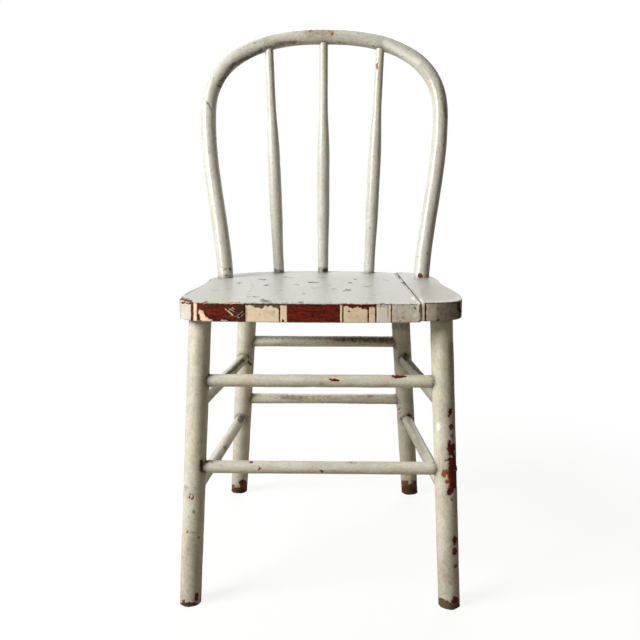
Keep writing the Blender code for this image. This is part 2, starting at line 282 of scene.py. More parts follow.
# %% [markdown]
# Eight stretchers tie the legs together in two tiers. Each runs from the middle of one leg
# to the middle of the next, so its ends are hidden in the legs.

# %% Stretchers
ROD_REACH = 0.0010
FRONT_ROD_RADIUS = 0.0095
BACK_ROD_RADIUS = 0.0099
BACK_LOWER_MIDDLE_RADIUS = 0.0091
SIDE_ROD_RADIUS = 0.0093

CROSS_HEIGHTS = {
    "front_upper": 0.3247,
    "front_lower": 0.1983,
    "back_upper": 0.3190,
    "back_lower": 0.2030,
}
SIDE_HEIGHTS = {"upper": (0.2869, 0.2877), "lower": (0.1615, 0.1641)}


def make_stretcher(name, start, end, end_radius, middle_radius, seed):
    way = (end - start).normalized()
    start = start - way * ROD_REACH
    end = end + way * ROD_REACH
    length = (end - start).length
    radius_at = blended(
        ((0.0, end_radius), (length / 2.0, middle_radius), (length, end_radius))
    )
    stick = turned_stick(length, radius_at)
    waver(stick, seed)
    lay_along(stick, start, end)
    STICKS[name] = (start, end, middle_radius)
    finish_piece(name, stick, "frame_paint")


for tier, height in CROSS_HEIGHTS.items():
    row = tier.split("_")[0]
    ends = [on_leg(row, side, height) for side in SIDES]
    radius = FRONT_ROD_RADIUS if row == "front" else BACK_ROD_RADIUS
    middle = BACK_LOWER_MIDDLE_RADIUS if tier == "back_lower" else radius
    make_stretcher("stretcher_" + tier, *ends, radius, middle, len(PIECES))

for side in SIDES:
    for tier, (front_height, back_height) in SIDE_HEIGHTS.items():
        front_end = on_leg("front", side, front_height)
        back_end = on_leg("back", side, back_height)
        name = "stretcher_" + side + "_" + tier
        make_stretcher(name, front_end, back_end, SIDE_ROD_RADIUS, SIDE_ROD_RADIUS, len(PIECES))

# %% [markdown]
# The bow is one straight stick, steamed and bent round a form. It is made the same way
# here: a straight turned stick first, and then each of its rings is carried to its place on
# the bend. The bend's line rises almost straight at the sides and has a flattened crown,
# which is a superellipse: a circle's formula with a power a little over 2.

# %% Bow
BEND_STEPS = 220


def lean(across, height):
    """A point in the bow's leaning plane, given across it and up it from the seat."""
    back = BOW_FOOT_Y + height * math.sin(BOW_LEAN)
    return Vector((across, back, SEAT_TOP + height * math.cos(BOW_LEAN)))


def bow_side_x(height):
    """How far the bow stands from the middle line, below its widest place."""
    share = max(height, 0.0) / BOW_WIDEST_HEIGHT
    spread = BOW_WIDEST_HALF - BOW_FOOT_X
    flare = BOW_FOOT_FLARE
    curve = flare * share + (3.0 - 2.0 * flare) * share**2 + (flare - 2.0) * share**3
    below_seat = min(height, 0.0) * flare * spread / BOW_WIDEST_HEIGHT
    return BOW_FOOT_X + spread * curve + below_seat


def bow_line():
    """Centre line of the whole bow, from its left end in the seat to its right end."""
    right = [(bow_side_x(-BOW_SOCKET_DEPTH), -BOW_SOCKET_DEPTH)]
    for step in range(BEND_STEPS + 1):
        height = BOW_WIDEST_HEIGHT * step / BEND_STEPS
        right.append((bow_side_x(height), height))
    rise = BOW_HEIGHT - BOW_WIDEST_HEIGHT
    power = 2.0 / BOW_CROWN_POWER
    for step in range(1, BEND_STEPS):
        angle = math.pi / 2.0 * step / BEND_STEPS
        across = BOW_WIDEST_HALF * math.cos(angle) ** power
        right.append((across, BOW_WIDEST_HEIGHT + rise * math.sin(angle) ** power))
    left = [(-across, height) for across, height in right]
    return [lean(*point) for point in (*left, (0.0, BOW_HEIGHT), *reversed(right))]


def bend_along(stick, line):
    """Carries a straight stick's rings along a line that lies in the bow's plane."""
    points = np.array(line)
    steps = np.linalg.norm(np.diff(points, axis=0), axis=1)
    reached = np.concatenate(([0.0], np.cumsum(steps)))
    ways = np.gradient(points, reached, axis=0)
    sideways = Vector((0.0, math.cos(BOW_LEAN), -math.sin(BOW_LEAN)))
    for vert in stick.verts:
        along = vert.co.z
        centre = Vector([np.interp(along, reached, points[:, axis]) for axis in range(3)])
        way = Vector([np.interp(along, reached, ways[:, axis]) for axis in range(3)])
        outward = sideways.cross(way.normalized())
        vert.co = centre + outward * vert.co.x + sideways * vert.co.y


bow_path = bow_line()
bow_length = sum((b - a).length for a, b in zip(bow_path, bow_path[1:]))
bow = turned_stick(bow_length, lambda height: BOW_RADIUS)
waver(bow, len(PIECES))
bend_along(bow, bow_path)
bmesh.ops.recalc_face_normals(bow, faces=bow.faces)
finish_piece("back_bow", bow, "back_paint")
print("bow's stick is", round(bow_length, 3), "m long")

# %% [markdown]
# Three spindles fan out from the seat to the bow. Each swells to a belly low down and
# thins to a neck at the top, where it enters the bow.

# %% Spindles
SPINDLE_FOOT_X = 0.0820
CENTRE_SPINDLE_X = -0.0016
SPINDLE_TOP_X = 0.1003
SPINDLE_BACK_INSET = 0.0140
SPINDLE_SOCKET_DEPTH = 0.0150
SPINDLE_FOOT_RADIUS = 0.0095
SPINDLE_FOOT_STRAIGHT = 0.035
SPINDLE_BELLY_RADIUS = 0.0113
SPINDLE_BELLY_START = 0.120
SPINDLE_BELLY_END = 0.205
SPINDLE_NECK_RADIUS = 0.0077
SPINDLE_NECK_START = 0.310
REAR_ARC_HALF = 0.1250
REAR_ARC_SETBACK = 0.0190


def bow_line_at(across):
    """The point of the bow's crown straight above a place across the seat."""
    share = abs(across) / BOW_WIDEST_HALF
    rise = (BOW_HEIGHT - BOW_WIDEST_HEIGHT) * (1.0 - share**BOW_CROWN_POWER) ** (
        1.0 / BOW_CROWN_POWER
    )
    return lean(across, BOW_WIDEST_HEIGHT + rise)


def make_spindle(name, foot_x, top_x, seed):
    back_edge = SEAT_BACK_Y - REAR_ARC_SETBACK * (foot_x / REAR_ARC_HALF) ** 2
    foot = Vector((foot_x, back_edge - SPINDLE_BACK_INSET, SEAT_TOP))
    top = bow_line_at(top_x)
    start = foot - (top - foot).normalized() * SPINDLE_SOCKET_DEPTH
    stations = (
        (SPINDLE_FOOT_STRAIGHT, SPINDLE_FOOT_RADIUS),
        (SPINDLE_BELLY_START, SPINDLE_BELLY_RADIUS),
        (SPINDLE_BELLY_END, SPINDLE_BELLY_RADIUS),
        (SPINDLE_NECK_START, SPINDLE_NECK_RADIUS),
    )
    shifted = [(height + SPINDLE_SOCKET_DEPTH, radius) for height, radius in stations]
    stick = turned_stick((top - start).length, blended(shifted))
    waver(stick, seed, WAVER_AMOUNT / 2.0)
    lay_along(stick, start, top)
    STICKS[name] = (start, top, SPINDLE_NECK_RADIUS)
    finish_piece(name, stick, "back_paint")


make_spindle("spindle_left", -SPINDLE_FOOT_X, -SPINDLE_TOP_X, 31)
make_spindle("spindle_centre", CENTRE_SPINDLE_X, CENTRE_SPINDLE_X, 32)
make_spindle("spindle_right", SPINDLE_FOOT_X, SPINDLE_TOP_X, 33)

# %% [markdown]
# The seat is a slab glued up from four boards. Its outline is a smooth closed curve through
# a few points, so a curve object draws it, and bmesh gives it thickness and round edges.
# Planes then part the slab into boards, as the glue lines do.

# %% Seat slab
SEAT_EDGE_ROUND = 0.0022
OUTLINE_STEPS = 24
SEAT_HALF_OUTLINE = (
    (0.0, SEAT_FRONT_Y),
    (0.1300, SEAT_FRONT_Y + 0.0045),
    (0.1790, SEAT_FRONT_Y + 0.0095),
    (0.2015, SEAT_FRONT_Y + 0.0240),
    (0.2094, SEAT_FRONT_Y + 0.0510),
    (0.1964, 0.0130),
    (0.1915, 0.0916),
    (0.1720, SEAT_BACK_Y - 0.0460),
    (REAR_ARC_HALF, SEAT_BACK_Y - REAR_ARC_SETBACK),
    (0.0, SEAT_BACK_Y),
)


def seat_outline():
    """The seat's outline as a flat ring of edges in a new bmesh, from a closed curve."""
    left = [(-x, y) for x, y in reversed(SEAT_HALF_OUTLINE[1:-1])]
    places = [*SEAT_HALF_OUTLINE, *left]
    curve = bpy.data.curves.new("seat_outline", "CURVE")
    curve.dimensions = "2D"
    curve.fill_mode = "NONE"
    curve.resolution_u = OUTLINE_STEPS
    spline = curve.splines.new("BEZIER")
    spline.bezier_points.add(len(places) - 1)
    for point, (x, y) in zip(spline.bezier_points, places):
        point.co = (x, y, 0.0)
        point.handle_left_type = "AUTO"
        point.handle_right_type = "AUTO"
    spline.use_cyclic_u = True
    drawing = bpy.data.objects.new("seat_outline", curve)
    bpy.context.scene.collection.objects.link(drawing)
    bpy.context.view_layer.update()
    evaluated = drawing.evaluated_get(bpy.context.evaluated_depsgraph_get())
    mesh = bpy.data.meshes.new_from_object(evaluated)
    ring = bmesh.new()
    ring.from_mesh(mesh)
    bmesh.ops.remove_doubles(ring, verts=ring.verts, dist=1e-5)
    bpy.data.objects.remove(drawing)
    bpy.data.meshes.remove(mesh)
    return ring


def seat_slab():
    slab = seat_outline()
    print("seat outline has", len(slab.edges), "edges")
    bmesh.ops.translate(slab, verts=slab.verts, vec=(0.0, 0.0, SEAT_UNDERSIDE))
    bottom = bmesh.ops.edgeloop_fill(slab, edges=slab.edges[:])["faces"]
    top = bmesh.ops.extrude_face_region(slab, geom=bottom)["geom"]
    raised = [item for item in top if isinstance(item, bmesh.types.BMVert)]
    bmesh.ops.translate(slab, verts=raised, vec=(0.0, 0.0, SEAT_THICKNESS))
    bmesh.ops.recalc_face_normals(slab, faces=slab.faces)
    rims = [
        edge
        for edge in slab.edges
        if len(edge.link_faces) == 2 and edge.calc_face_angle() > math.radians(60.0)
    ]
    round_off(slab, rims, SEAT_EDGE_ROUND, 3)
    return slab


# %% [markdown]
# Each board is then sliced by many planes into small cells, so that paint marks on it have
# vertices to sit on. The front edge shows most, so it gets the finest cells. The right
# board has come loose: it stands a little higher and further back than its neighbour.

# %% Seat boards
TOP_CELL = 0.003
EDGE_CELL = 0.0012
GLUE_GAP = 0.00005
OPEN_GAP = 0.0008
JOINTS = {
    "left": ((-0.1090, SEAT_FRONT_Y), (-0.1090, SEAT_BACK_Y), GLUE_GAP),
    "middle": ((0.0328, SEAT_FRONT_Y), (0.0328, SEAT_BACK_Y), GLUE_GAP),
    "open": ((0.1450, SEAT_FRONT_Y), (0.1310, SEAT_BACK_Y), OPEN_GAP),
}
BOARDS = {
    "seat_board_left": (None, "left"),
    "seat_board_centre_left": ("left", "middle"),
    "seat_board_centre_right": ("middle", "open"),
    "seat_board_right": ("open", None),
}
RIGHT_BOARD_SHIFT = (0.0, 0.0012, 0.0015)


def saw(board, joint, keep):
    """Cuts a slab at a joint and keeps what is to the given side of it, -1 left or 1 right."""
    front, back, gap = JOINTS[joint]
    front = Vector((*front, 0.0))
    back = Vector((*back, 0.0))
    across = (back - front).cross(Vector((0.0, 0.0, 1.0))).normalized()
    across *= keep if across.x > 0.0 else -keep
    cut_off(board, front + across * gap / 2.0, across)


def slice_up(board, axis, cell, wanted=None):
    """Slices a board's faces by planes across an axis, one cell apart."""
    normal = Vector([1.0 if index == axis else 0.0 for index in range(3)])
    places = [vert.co[axis] for vert in board.verts]
    count = math.ceil((max(places) - min(places)) / cell)
    faces = [face for face in board.faces if wanted is None or wanted(face)]
    edges = {edge for face in faces for edge in face.edges}
    verts = {vert for face in faces for vert in face.verts}
    part = faces + list(edges) + list(verts)
    for step in range(1, count):
        part = bmesh.ops.bisect_plane(
            board,
            geom=part,
            dist=1e-6,
            plane_co=normal * (min(places) + step * cell),
            plane_no=normal,
        )["geom"]


def on_front_edge(face):
    return face.normal.y < -0.35 and face.calc_center_median().y < SEAT_FRONT_Y + 0.06


for name, (before, after) in BOARDS.items():
    board = seat_slab()
    if before:
        saw(board, before, 1.0)
    if after:
        saw(board, after, -1.0)
    slice_up(board, 2, EDGE_CELL)
    slice_up(board, 0, TOP_CELL)
    slice_up(board, 1, TOP_CELL)
    board.normal_update()
    slice_up(board, 0, EDGE_CELL, on_front_edge)
    place = board.verts.layers.float_vector.new(STICK_PLACE)
    for vert in board.verts:
        vert[place] = (vert.co.y, vert.co.z, vert.co.x)
    if name == "seat_board_right":
        bmesh.ops.translate(board, verts=board.verts, vec=RIGHT_BOARD_SHIFT)
    bmesh.ops.recalc_face_normals(board, faces=board.faces)
    finish_piece(name, board, "seat_paint")

# %% [markdown]
# The wear that the photograph shows is painted onto the pieces from the camera's place, and
# so are some painted shade and painted highlights. A mark is a simple flat shape in the
# photograph's pixels, and every vertex that faces the camera asks how deep inside each shape
# it lies. Depths are kept in millimetres, below zero outside the shape, so that a material
# can later cut a crisp ragged edge between vertices.

# %% Where a point lands in the photograph
PHOTO_PIXELS = 640.0
PIXELS_PER_UNIT = CAMERA_LENS_MM / CAMERA_SENSOR_MM * PHOTO_PIXELS
OUTSIDE = -9.0
WOBBLE_PIXELS = 0.42
BLOCK_SHARPNESS = 2.2


def photo_places(points):
    """Pixels across and down for each point, and millimetres for each pixel there."""
    turn = np.array(camera.rotation_euler.to_matrix())
    seen = (points - np.array(CAMERA_PLACE)) @ turn
    depth = -seen[:, 2]
    across = PHOTO_PIXELS / 2.0 + PIXELS_PER_UNIT * seen[:, 0] / depth
    down = PHOTO_PIXELS / 2.0 - PIXELS_PER_UNIT * seen[:, 1] / depth
    return across, down, depth * 1000.0 / PIXELS_PER_UNIT


def wobbled(across, down):
    """The same pixels pushed about a little, so that no chip is a neat oval or straight."""
    push_x = np.sin(1.35 * down + 2.1 * np.sin(0.57 * across)) + 0.7 * np.sin(2.9 * down + across)
    push_y = np.sin(1.17 * across + 1.9 * np.sin(0.49 * down)) + 0.7 * np.sin(2.6 * across - down)
    return across + WOBBLE_PIXELS * push_x, down + WOBBLE_PIXELS * push_y


def oval(x, y, half_width, half_height, turn=0.0):
    """A shape that says how far inside an oval a pixel lies."""
    turn = math.radians(turn)

    def depth_inside(across, down):
        across, down = wobbled(across, down)
        along = (across - x) * math.cos(turn) + (down - y) * math.sin(turn)
        beside = (down - y) * math.cos(turn) - (across - x) * math.sin(turn)
        ring = np.hypot(along / half_width, beside / half_height)
        return (1.0 - ring) * min(half_width, half_height)

    return depth_inside


def line_gap(across, down, line):
    """Pixels from each point to the line between two pixels."""
    x0, y0, x1, y1 = line
    run_x = x1 - x0
    run_y = y1 - y0
    share = ((across - x0) * run_x + (down - y0) * run_y) / (run_x**2 + run_y**2)
    share = np.clip(share, 0.0, 1.0)
    return np.hypot(across - x0 - share * run_x, down - y0 - share * run_y)


def streak(x0, y0, x1, y1, half_width):
    """A shape that follows a line between two pixels."""

    def depth_inside(across, down):
        return half_width - line_gap(*wobbled(across, down), (x0, y0, x1, y1))

    return depth_inside


def hairline(x0, y0, x1, y1, half_width):
    """A straight thin streak, cut sharper than the others."""

    def depth_inside(across, down):
        return (half_width - line_gap(across, down, (x0, y0, x1, y1))) * BLOCK_SHARPNESS

    return depth_inside


def block(left, top, right, bottom):
    """A shape with four straight sides, cut sharper than the others."""

    def depth_inside(across, down):
        sides = (across - left, right - across, down - top, bottom - down)
        return np.minimum.reduce(sides) * BLOCK_SHARPNESS

    return depth_inside


# %% [markdown]
# The chair wears three coats. The oldest is a dark red stain in the wood, over it lies a
# cream undercoat, and last the off-white paint. A mark either takes coats away or puts one
# back, in the order in which the marks are listed, as layers of masking tape would.

# %% Kinds of mark
RED = 0.0
RUST = 0.5
GREY = 1.0


def kind_of_mark(kind, usual=1.0):
    def mark(shape, value=usual):
        return kind, shape, value

    return mark


# Bare wood takes a tone, a lump takes its height in millimetres, and the others an amount.
# Grime, stains and paler paint have soft edges, and so do the painted shade and painted
# light that some of them carry. Scratches and flakes have crisp ones; a few flakes also carry
# a painted highlight.
bare = kind_of_mark("bare", RED)
undercoat = kind_of_mark("undercoat", 0.0)
topcoat = kind_of_mark("topcoat", 0.0)
grime_and_shade = kind_of_mark("grime")
stain_and_shade = kind_of_mark("stain")
pale_paint_and_light = kind_of_mark("pale")
flake_and_highlight = kind_of_mark("flake")
scratch = kind_of_mark("scratch")
lump = kind_of_mark("lump")

# %% Marks on the legs
MARKS = {}
MARKS["leg_front_left"] = {
    "red wood bared beside the lower stretcher": bare(oval(201.9, 466, 1.9, 6.6)),
    "rim of a chip below it": bare(oval(191.5, 496.6, 2.7, 3), GREY),
    "paint left inside that rim": topcoat(oval(191.4, 496.4, 1.6, 1.9)),
    "scuff left of the rim": scratch(oval(186.4, 488, 1.5, 3), 0.55),
    "brown nick": scratch(oval(193.7, 511.4, 1.2, 2.5, -12), 1.1),
    "first of three dots": scratch(oval(187.7, 531.5, 1.1, 1.1), 1.1),
    "second dot": scratch(oval(191.3, 531.9, 1.3, 1), 1.1),
    "third dot": scratch(oval(195.4, 532.4, 0.9, 0.9), 0.9),
    "lone dot": scratch(oval(198.9, 537.6, 1, 1.1), 1.1),
    "dark nick near the floor": bare(oval(196.6, 597, 1.9, 4, 10), RED),
    "scuffs low down": grime_and_shade(oval(191, 570, 8, 36), 0.34),
    "scuffs at the foot": grime_and_shade(oval(190, 606, 13, 3.6), 1.3),
    "scuffs right of the rim": scratch(oval(194.6, 488.4, 2, 1, 40), 0.45),
    "pink film low down": stain_and_shade(oval(189, 560, 9, 40), 0.42),
    "worn foot": bare(streak(181, 603.6, 200, 605, 1.6), GREY),
    "scuff high up": grime_and_shade(oval(206, 372, 4, 9), 0.22),
    "dot high up": scratch(oval(197.6, 395, 0.7, 0.9), 0.7),
    "dot under the lower stretcher": scratch(oval(188.8, 517.6, 0.7, 1.1), 0.7),
    "chip at the foot": bare(oval(183.6, 601.4, 1.4, 1.8), 0.75),
}
MARKS["leg_front_right"] = {
    "thin peel": bare(streak(450.8, 409.8, 449.4, 415.6, 1.7)),
    "olive chip": bare(oval(451.6, 427.2, 2.3, 2.9), 0.78),
    "nick under it": scratch(oval(451.6, 436, 1.1, 2.2), 1.1),
    "first flake above the big peel": bare(streak(449.6, 442, 449, 450, 1.8)),
    "second flake above the big peel": bare(streak(452.8, 446, 451.6, 456, 2.6)),
    "big peel": bare(streak(453.2, 459, 453.4, 484, 4.2)),
    "tail of the big peel": bare(streak(452.4, 482, 449.8, 493.2, 2.8)),
    "arm of the big peel": bare(oval(447, 460.5, 2.2, 1), RED),
    "orange chip beside the big peel": bare(oval(445.6, 474.2, 3.8, 4.4), RUST),
    "bridge to the orange chip": bare(oval(448.2, 481.5, 3.6, 2.8), RUST),
    "paint left in the big peel": topcoat(oval(447.2, 477.6, 1, 2.2)),
    "cream flake": undercoat(streak(448.6, 499, 450.4, 503.5, 1.1)),
    "brown flake beside it": bare(oval(451.9, 499.5, 0.9, 2), RUST),
    "lower peel": bare(oval(455.2, 539.6, 1.9, 5.4)),
    "peel below it": bare(oval(455, 551.2, 2, 4)),
    "brown peel": bare(oval(455.8, 565.8, 1.6, 2.6), 0.7),
    "tan chip": scratch(oval(449.6, 570, 1.2, 1.9), 0.6),
    "tan scuff": stain_and_shade(oval(446, 577, 4.4, 7), 0.9),
    "grey streak": grime_and_shade(streak(446, 552, 448, 584, 2.4), 0.30),
    "scuffs low down": grime_and_shade(oval(449, 572, 9, 24), 0.28),
    "bare foot, left half": bare(streak(436, 599, 449, 604.6, 2.6), GREY),
    "bare foot, middle": bare(block(430, 603, 466, 620), GREY),
    "dark chip at the foot": bare(oval(455.2, 601.5, 3.4, 5.6), RED),
    "paint drip at the foot": topcoat(oval(449.5, 598.5, 2.2, 3.2, -30)),
    "yellow flake": flake_and_highlight(oval(438.4, 426.6, 2.1, 4)),
    "dark heart of the flakes": scratch(streak(452.8, 449, 453.6, 455, 1.2), 0.8),
    "dark run in the big peel": scratch(streak(450.6, 463, 450.8, 478, 0.9), 0.55),
    "pink tint beside the lower peels": stain_and_shade(oval(453, 546, 4, 14), 0.95),
    "pink film low down": stain_and_shade(oval(444, 580, 8, 20), 0.42),
    "red wood at the foot": bare(block(452.5, 604, 466, 620), RED),
    "dirt at the foot": grime_and_shade(streak(436, 611, 460, 611, 2), 1.3),
    "knot on the right edge": lump(oval(456.2, 468.6, 1.6, 2.4), 1.3),
    "grey left edge": grime_and_shade(streak(434.6, 590, 435.4, 604, 1), 0.4),
    # Painted shade: the right side, which faces away from the light, darkened down its length.
    "painted shade down the right side": grime_and_shade(streak(452, 345, 461, 596, 3.6), 0.40),
    "warm film all down": stain_and_shade(streak(447, 340, 452, 590, 6), 0.22),
    # Painted shade on the right flank.
    "painted shade on the flank beside the peels": grime_and_shade(streak(456.8, 505, 460, 580, 2), 0.45),
    "olive scuff low down": grime_and_shade(oval(450.6, 580, 3.6, 7), 0.42),
    "crumb of paint in the big peel": topcoat(oval(451, 456.6, 1.6, 0.7, 20)),
    "second crumb in the big peel": topcoat(oval(455.4, 470.4, 0.7, 1.3)),
    "third crumb in the big peel": undercoat(oval(449.4, 486.6, 1.3, 0.7)),
    "splinters left of the peel": bare(oval(446.4, 486.2, 0.8, 0.7), RED),
    "grey scuff high up": grime_and_shade(oval(451, 372, 4, 10), 0.26),
}
MARKS["leg_back_left"] = {
    "dark gap round the upper rung": grime_and_shade(oval(244, 357.3, 3.4, 2.4), 1),
    "crack beside the upper rung": bare(streak(247.2, 360.8, 251.2, 364.2, 0.9), RED),
    "dark gap round the lower rung": grime_and_shade(oval(241.2, 418, 3.2, 2.6), 0.9),
    "bare foot": bare(block(225, 484.5, 252, 500), 0.74),
    "bare foot, taller at the right": bare(oval(243, 484, 4, 4.4), RED),
    "first streak of paint": topcoat(streak(233.4, 482, 236.8, 487.4, 0.9)),
    "second streak of paint": topcoat(streak(236.4, 481, 239.6, 487.4, 0.9)),
    "dark wood at the foot": grime_and_shade(oval(239, 491.5, 9, 4.2), 1.3),
}
MARKS["leg_back_right"] = {
    "dark spot at the upper rung": scratch(oval(405.8, 357.4, 2.8, 2.4), 1.4),
    "shadow round the dark spot": grime_and_shade(oval(405.8, 357.4, 4.2, 4.4), 1),
    "first dark dot": scratch(oval(399.4, 408.9, 1.2, 1.3), 1.4),
    "second dark dot": scratch(oval(399.8, 412.9, 1, 1), 0.9),
    "third dark dot": scratch(oval(401.9, 419.2, 1.3, 1.1), 1.4),
    "rusty chip at the lower rung": bare(oval(409.2, 415.8, 2.2, 2), RUST),
    "rusty specks": stain_and_shade(oval(408, 421.5, 4.6, 4.2), 0.9),
    "bare foot": bare(block(395, 480.6, 422, 500), 0.80),
    "paint left on the foot": topcoat(oval(410.4, 482.4, 2.2, 2)),
    "cream left above the foot": undercoat(oval(408.6, 476.6, 2.6, 2.2)),
    # Painted shade: the leg's top darkened under the seat.
    "painted shade under the seat": grime_and_shade(streak(396, 325, 411, 326, 5), 0.5),
    "dark wood at the foot": grime_and_shade(oval(409, 490, 9, 5), 0.9),
    "red wood on that foot": bare(oval(405.4, 484.6, 3, 2), RED),
}

# %% Marks on the stretchers
MARKS["stretcher_front_upper"] = {
    "pale rim of the first chip": undercoat(oval(334.8, 379.6, 6, 2.1, 4)),
    "first chip": bare(oval(335, 379.9, 4.8, 1.5, 4)),
    "second chip": bare(streak(393, 376.4, 405, 376.2, 1.2)),
    "end of the second chip": bare(oval(396, 377, 4, 1.4)),
    "scuff": grime_and_shade(oval(322, 383.5, 2.4, 1.4), 0.7),
    "pink tint": stain_and_shade(oval(262, 380, 26, 5), 0.28),
    "brighter paint, left": pale_paint_and_light(streak(212, 380, 300, 380, 4), 0.22),
    "brighter paint, right": pale_paint_and_light(streak(340, 379.6, 430, 380, 4), 0.22),
}
MARKS["stretcher_front_lower"] = {
    "dark nick on top": bare(oval(251.4, 462, 1.9, 1.2), GREY),
    "brown nick": bare(oval(260, 468.6, 2, 1.2, -25), RUST),
    "reddish speck": stain_and_shade(oval(289.6, 465.8, 1.8, 1.5), 1),
    "olive nick below": bare(oval(321.9, 471.2, 2.2, 1.4), GREY),
    "dirt where it meets the leg": grime_and_shade(oval(207, 461.2, 7, 1.8), 1),
    "grey-green nick": grime_and_shade(oval(351, 462.6, 3.4, 1.1), 0.8),
    "brighter paint": pale_paint_and_light(streak(214, 466, 430, 467, 4), 0.22),
}
MARKS["stretcher_back_upper"] = {
    # These four marks are painted shade: the seat's shadow darkens the stretcher's top and its
    # right half.
    "dirt on top, right": grime_and_shade(streak(336, 337.6, 394, 339.6, 3.6), 0.85),
    "dirt on top, left": grime_and_shade(streak(254, 336.4, 336, 337.4, 2), 0.75),
    "brown wear": stain_and_shade(streak(330, 340, 394, 341, 4), 0.9),
    "olive end, right": grime_and_shade(oval(390, 340, 6, 4), 0.7),
}
MARKS["stretcher_back_lower"] = {
    "worn top": stain_and_shade(streak(283, 397, 330, 398, 2.6), 1),
    "worn top, right": stain_and_shade(streak(320, 398.2, 372, 397, 2), 0.8),
    "scratches on the worn top": grime_and_shade(streak(281, 397.2, 306, 398, 2), 0.42),
    "dark nick": grime_and_shade(oval(370.5, 395.8, 2, 1), 1),
    "brown tint": stain_and_shade(oval(355, 402, 40, 3), 0.4),
    "first nick": scratch(hairline(283, 396.4, 285.4, 398.6, 0.5), 0.9),
    "second nick": scratch(hairline(287.4, 396, 289, 398.6, 0.45), 0.8),
    "third nick": scratch(hairline(293, 396.8, 296, 399.2, 0.5), 0.9),
    "fourth nick": scratch(hairline(300.4, 396.6, 302, 399, 0.45), 0.8),
    "dirt along the underside": grime_and_shade(streak(254, 405, 396, 404.4, 0.8), 0.6),
}
MARKS["stretcher_right_upper"] = {
    "dirt along the outer side": grime_and_shade(streak(407, 358, 424, 375, 2.6), 1.3),
    "dark far end": scratch(oval(405.8, 357.6, 3, 2.6), 1.4),
}
MARKS["stretcher_left_upper"] = {
    "dirt in the corner": grime_and_shade(streak(243, 360.5, 227, 375, 2), 1.1),
}
MARKS["stretcher_left_lower"] = {
    "dirt under the far end": grime_and_shade(oval(241, 419, 3.4, 4), 1),
    "dark nick": grime_and_shade(oval(225, 447.5, 1.6, 2.4), 0.8),
}

# %% Marks on the bow and spindles
MARKS["back_bow"] = {
    "right half of the crack": scratch(hairline(207.6, 102.4, 211.2, 110, 0.55), 1.3),
    "pale lip of the crack": undercoat(hairline(205.6, 103.6, 204.4, 118, 0.35)),
    "grime at the crack": scratch(hairline(206.2, 101, 207.8, 105, 0.5), 0.9),
    "worn crown": stain_and_shade(oval(321, 33, 17, 6), 0.95),
    "specks on the crown": grime_and_shade(oval(316, 31.5, 16, 2.6), 0.42),
    "brown nick right of the crown": bare(oval(332.6, 33, 1.2, 2, 20), RUST),
    "wear on the left shoulder": grime_and_shade(oval(262, 40.6, 8, 1.6, -20), 0.40),
    "pits on the left shoulder": scratch(oval(254.6, 43, 1.8, 1, -20), 0.7),
    # Painted shade: the bow's underside darkened, in this and the next two marks.
    "painted shade under the bow, left of the spindle": grime_and_shade(streak(232, 65.6, 262, 50.6, 2), 1),
    "painted shade under the bow, middle": grime_and_shade(streak(276, 43.5, 296, 42.2, 1.8), 0.75),
    "brown painted shade under the bow": stain_and_shade(streak(281, 43, 345, 43.6, 2.6), 0.8),
    "dark nick below the crown": scratch(oval(339.6, 42.4, 1.8, 1), 0.9),
    "dark nick at the right spindle": scratch(oval(373.6, 46.6, 2, 0.9), 0.9),
    "brown inner side, left": stain_and_shade(streak(214.4, 128, 217.6, 158, 1.8), 0.9),
    # Painted shade inside the left bend.
    "painted shade inside the left bend": grime_and_shade(streak(232, 66, 219.4, 86, 2), 0.85),
    "pits low on the left": grime_and_shade(oval(209.5, 150, 2.4, 4), 0.35),
    "pink wear on the right shoulder": stain_and_shade(streak(428, 75, 445, 112, 4), 0.55),
    "brown outer side, right": stain_and_shade(streak(444.4, 96, 443.6, 145, 1.8), 0.9),
    "first dot at the left foot": scratch(oval(225.6, 269, 1.7, 1), 1.2),
    "second dot at the left foot": scratch(oval(230.2, 269.2, 1.2, 2), 1.2),
    "third dot at the left foot": scratch(oval(226.4, 276, 1.7, 1.7), 1),
    "red patch at the right foot": bare(oval(420.4, 275.6, 2.8, 2.6)),
    "speck above the right foot": bare(oval(428, 253.6, 1, 1), RED),
    "step below the crack": lump(oval(203.6, 111, 3.4, 9), 0.6),
    "first pit on the crown": scratch(oval(310.2, 31, 2.2, 0.9, -30), 0.9),
    "second pit on the crown": scratch(oval(317, 30.4, 1.8, 0.9), 0.8),
    "third pit on the crown": scratch(oval(313, 34.4, 1.6, 0.8, 25), 0.6),
    "fourth pit on the crown": scratch(oval(322, 31.4, 2.4, 0.7), 0.8),
    "fifth pit on the crown": scratch(oval(329.4, 31.8, 1.4, 1), 0.7),
    # Painted shade under the bow, in this and the next mark.
    "painted shade under the bow's middle": grime_and_shade(streak(262, 49, 284, 44, 1.6), 0.8),
    "painted shade under the bow's right side": grime_and_shade(streak(330, 44.6, 384, 51.6, 1.2), 0.55),
    "brown specks on the right bend": grime_and_shade(streak(440, 84, 446.4, 118, 1.6), 0.6),
    # Painted highlight: the right shoulder's paint lifted paler.
    "painted highlight on the right shoulder": pale_paint_and_light(streak(385, 43, 418, 62, 3), 0.75),
    "first speck on the right bend": scratch(oval(444, 92, 0.8, 1.5), 0.8),
    "second speck on the right bend": scratch(oval(445.4, 103, 0.7, 2), 0.7),
    "third speck on the right bend": scratch(oval(445.8, 117, 0.7, 1.2), 0.8),
    "fourth speck on the right bend": scratch(oval(436, 76, 1.2, 0.7), 0.6),
    "dot low on the right": scratch(oval(427.4, 233, 0.8, 0.8), 0.8),
    "dot on the left side": scratch(oval(211, 170, 0.7, 1.3), 0.7),
    "second dot on the left side": scratch(oval(215.6, 212, 0.7, 0.9), 0.7),
}
MARKS["spindle_left"] = {
    "dirt at the foot": grime_and_shade(streak(274, 270.4, 283, 271.4, 1.3), 1),
}
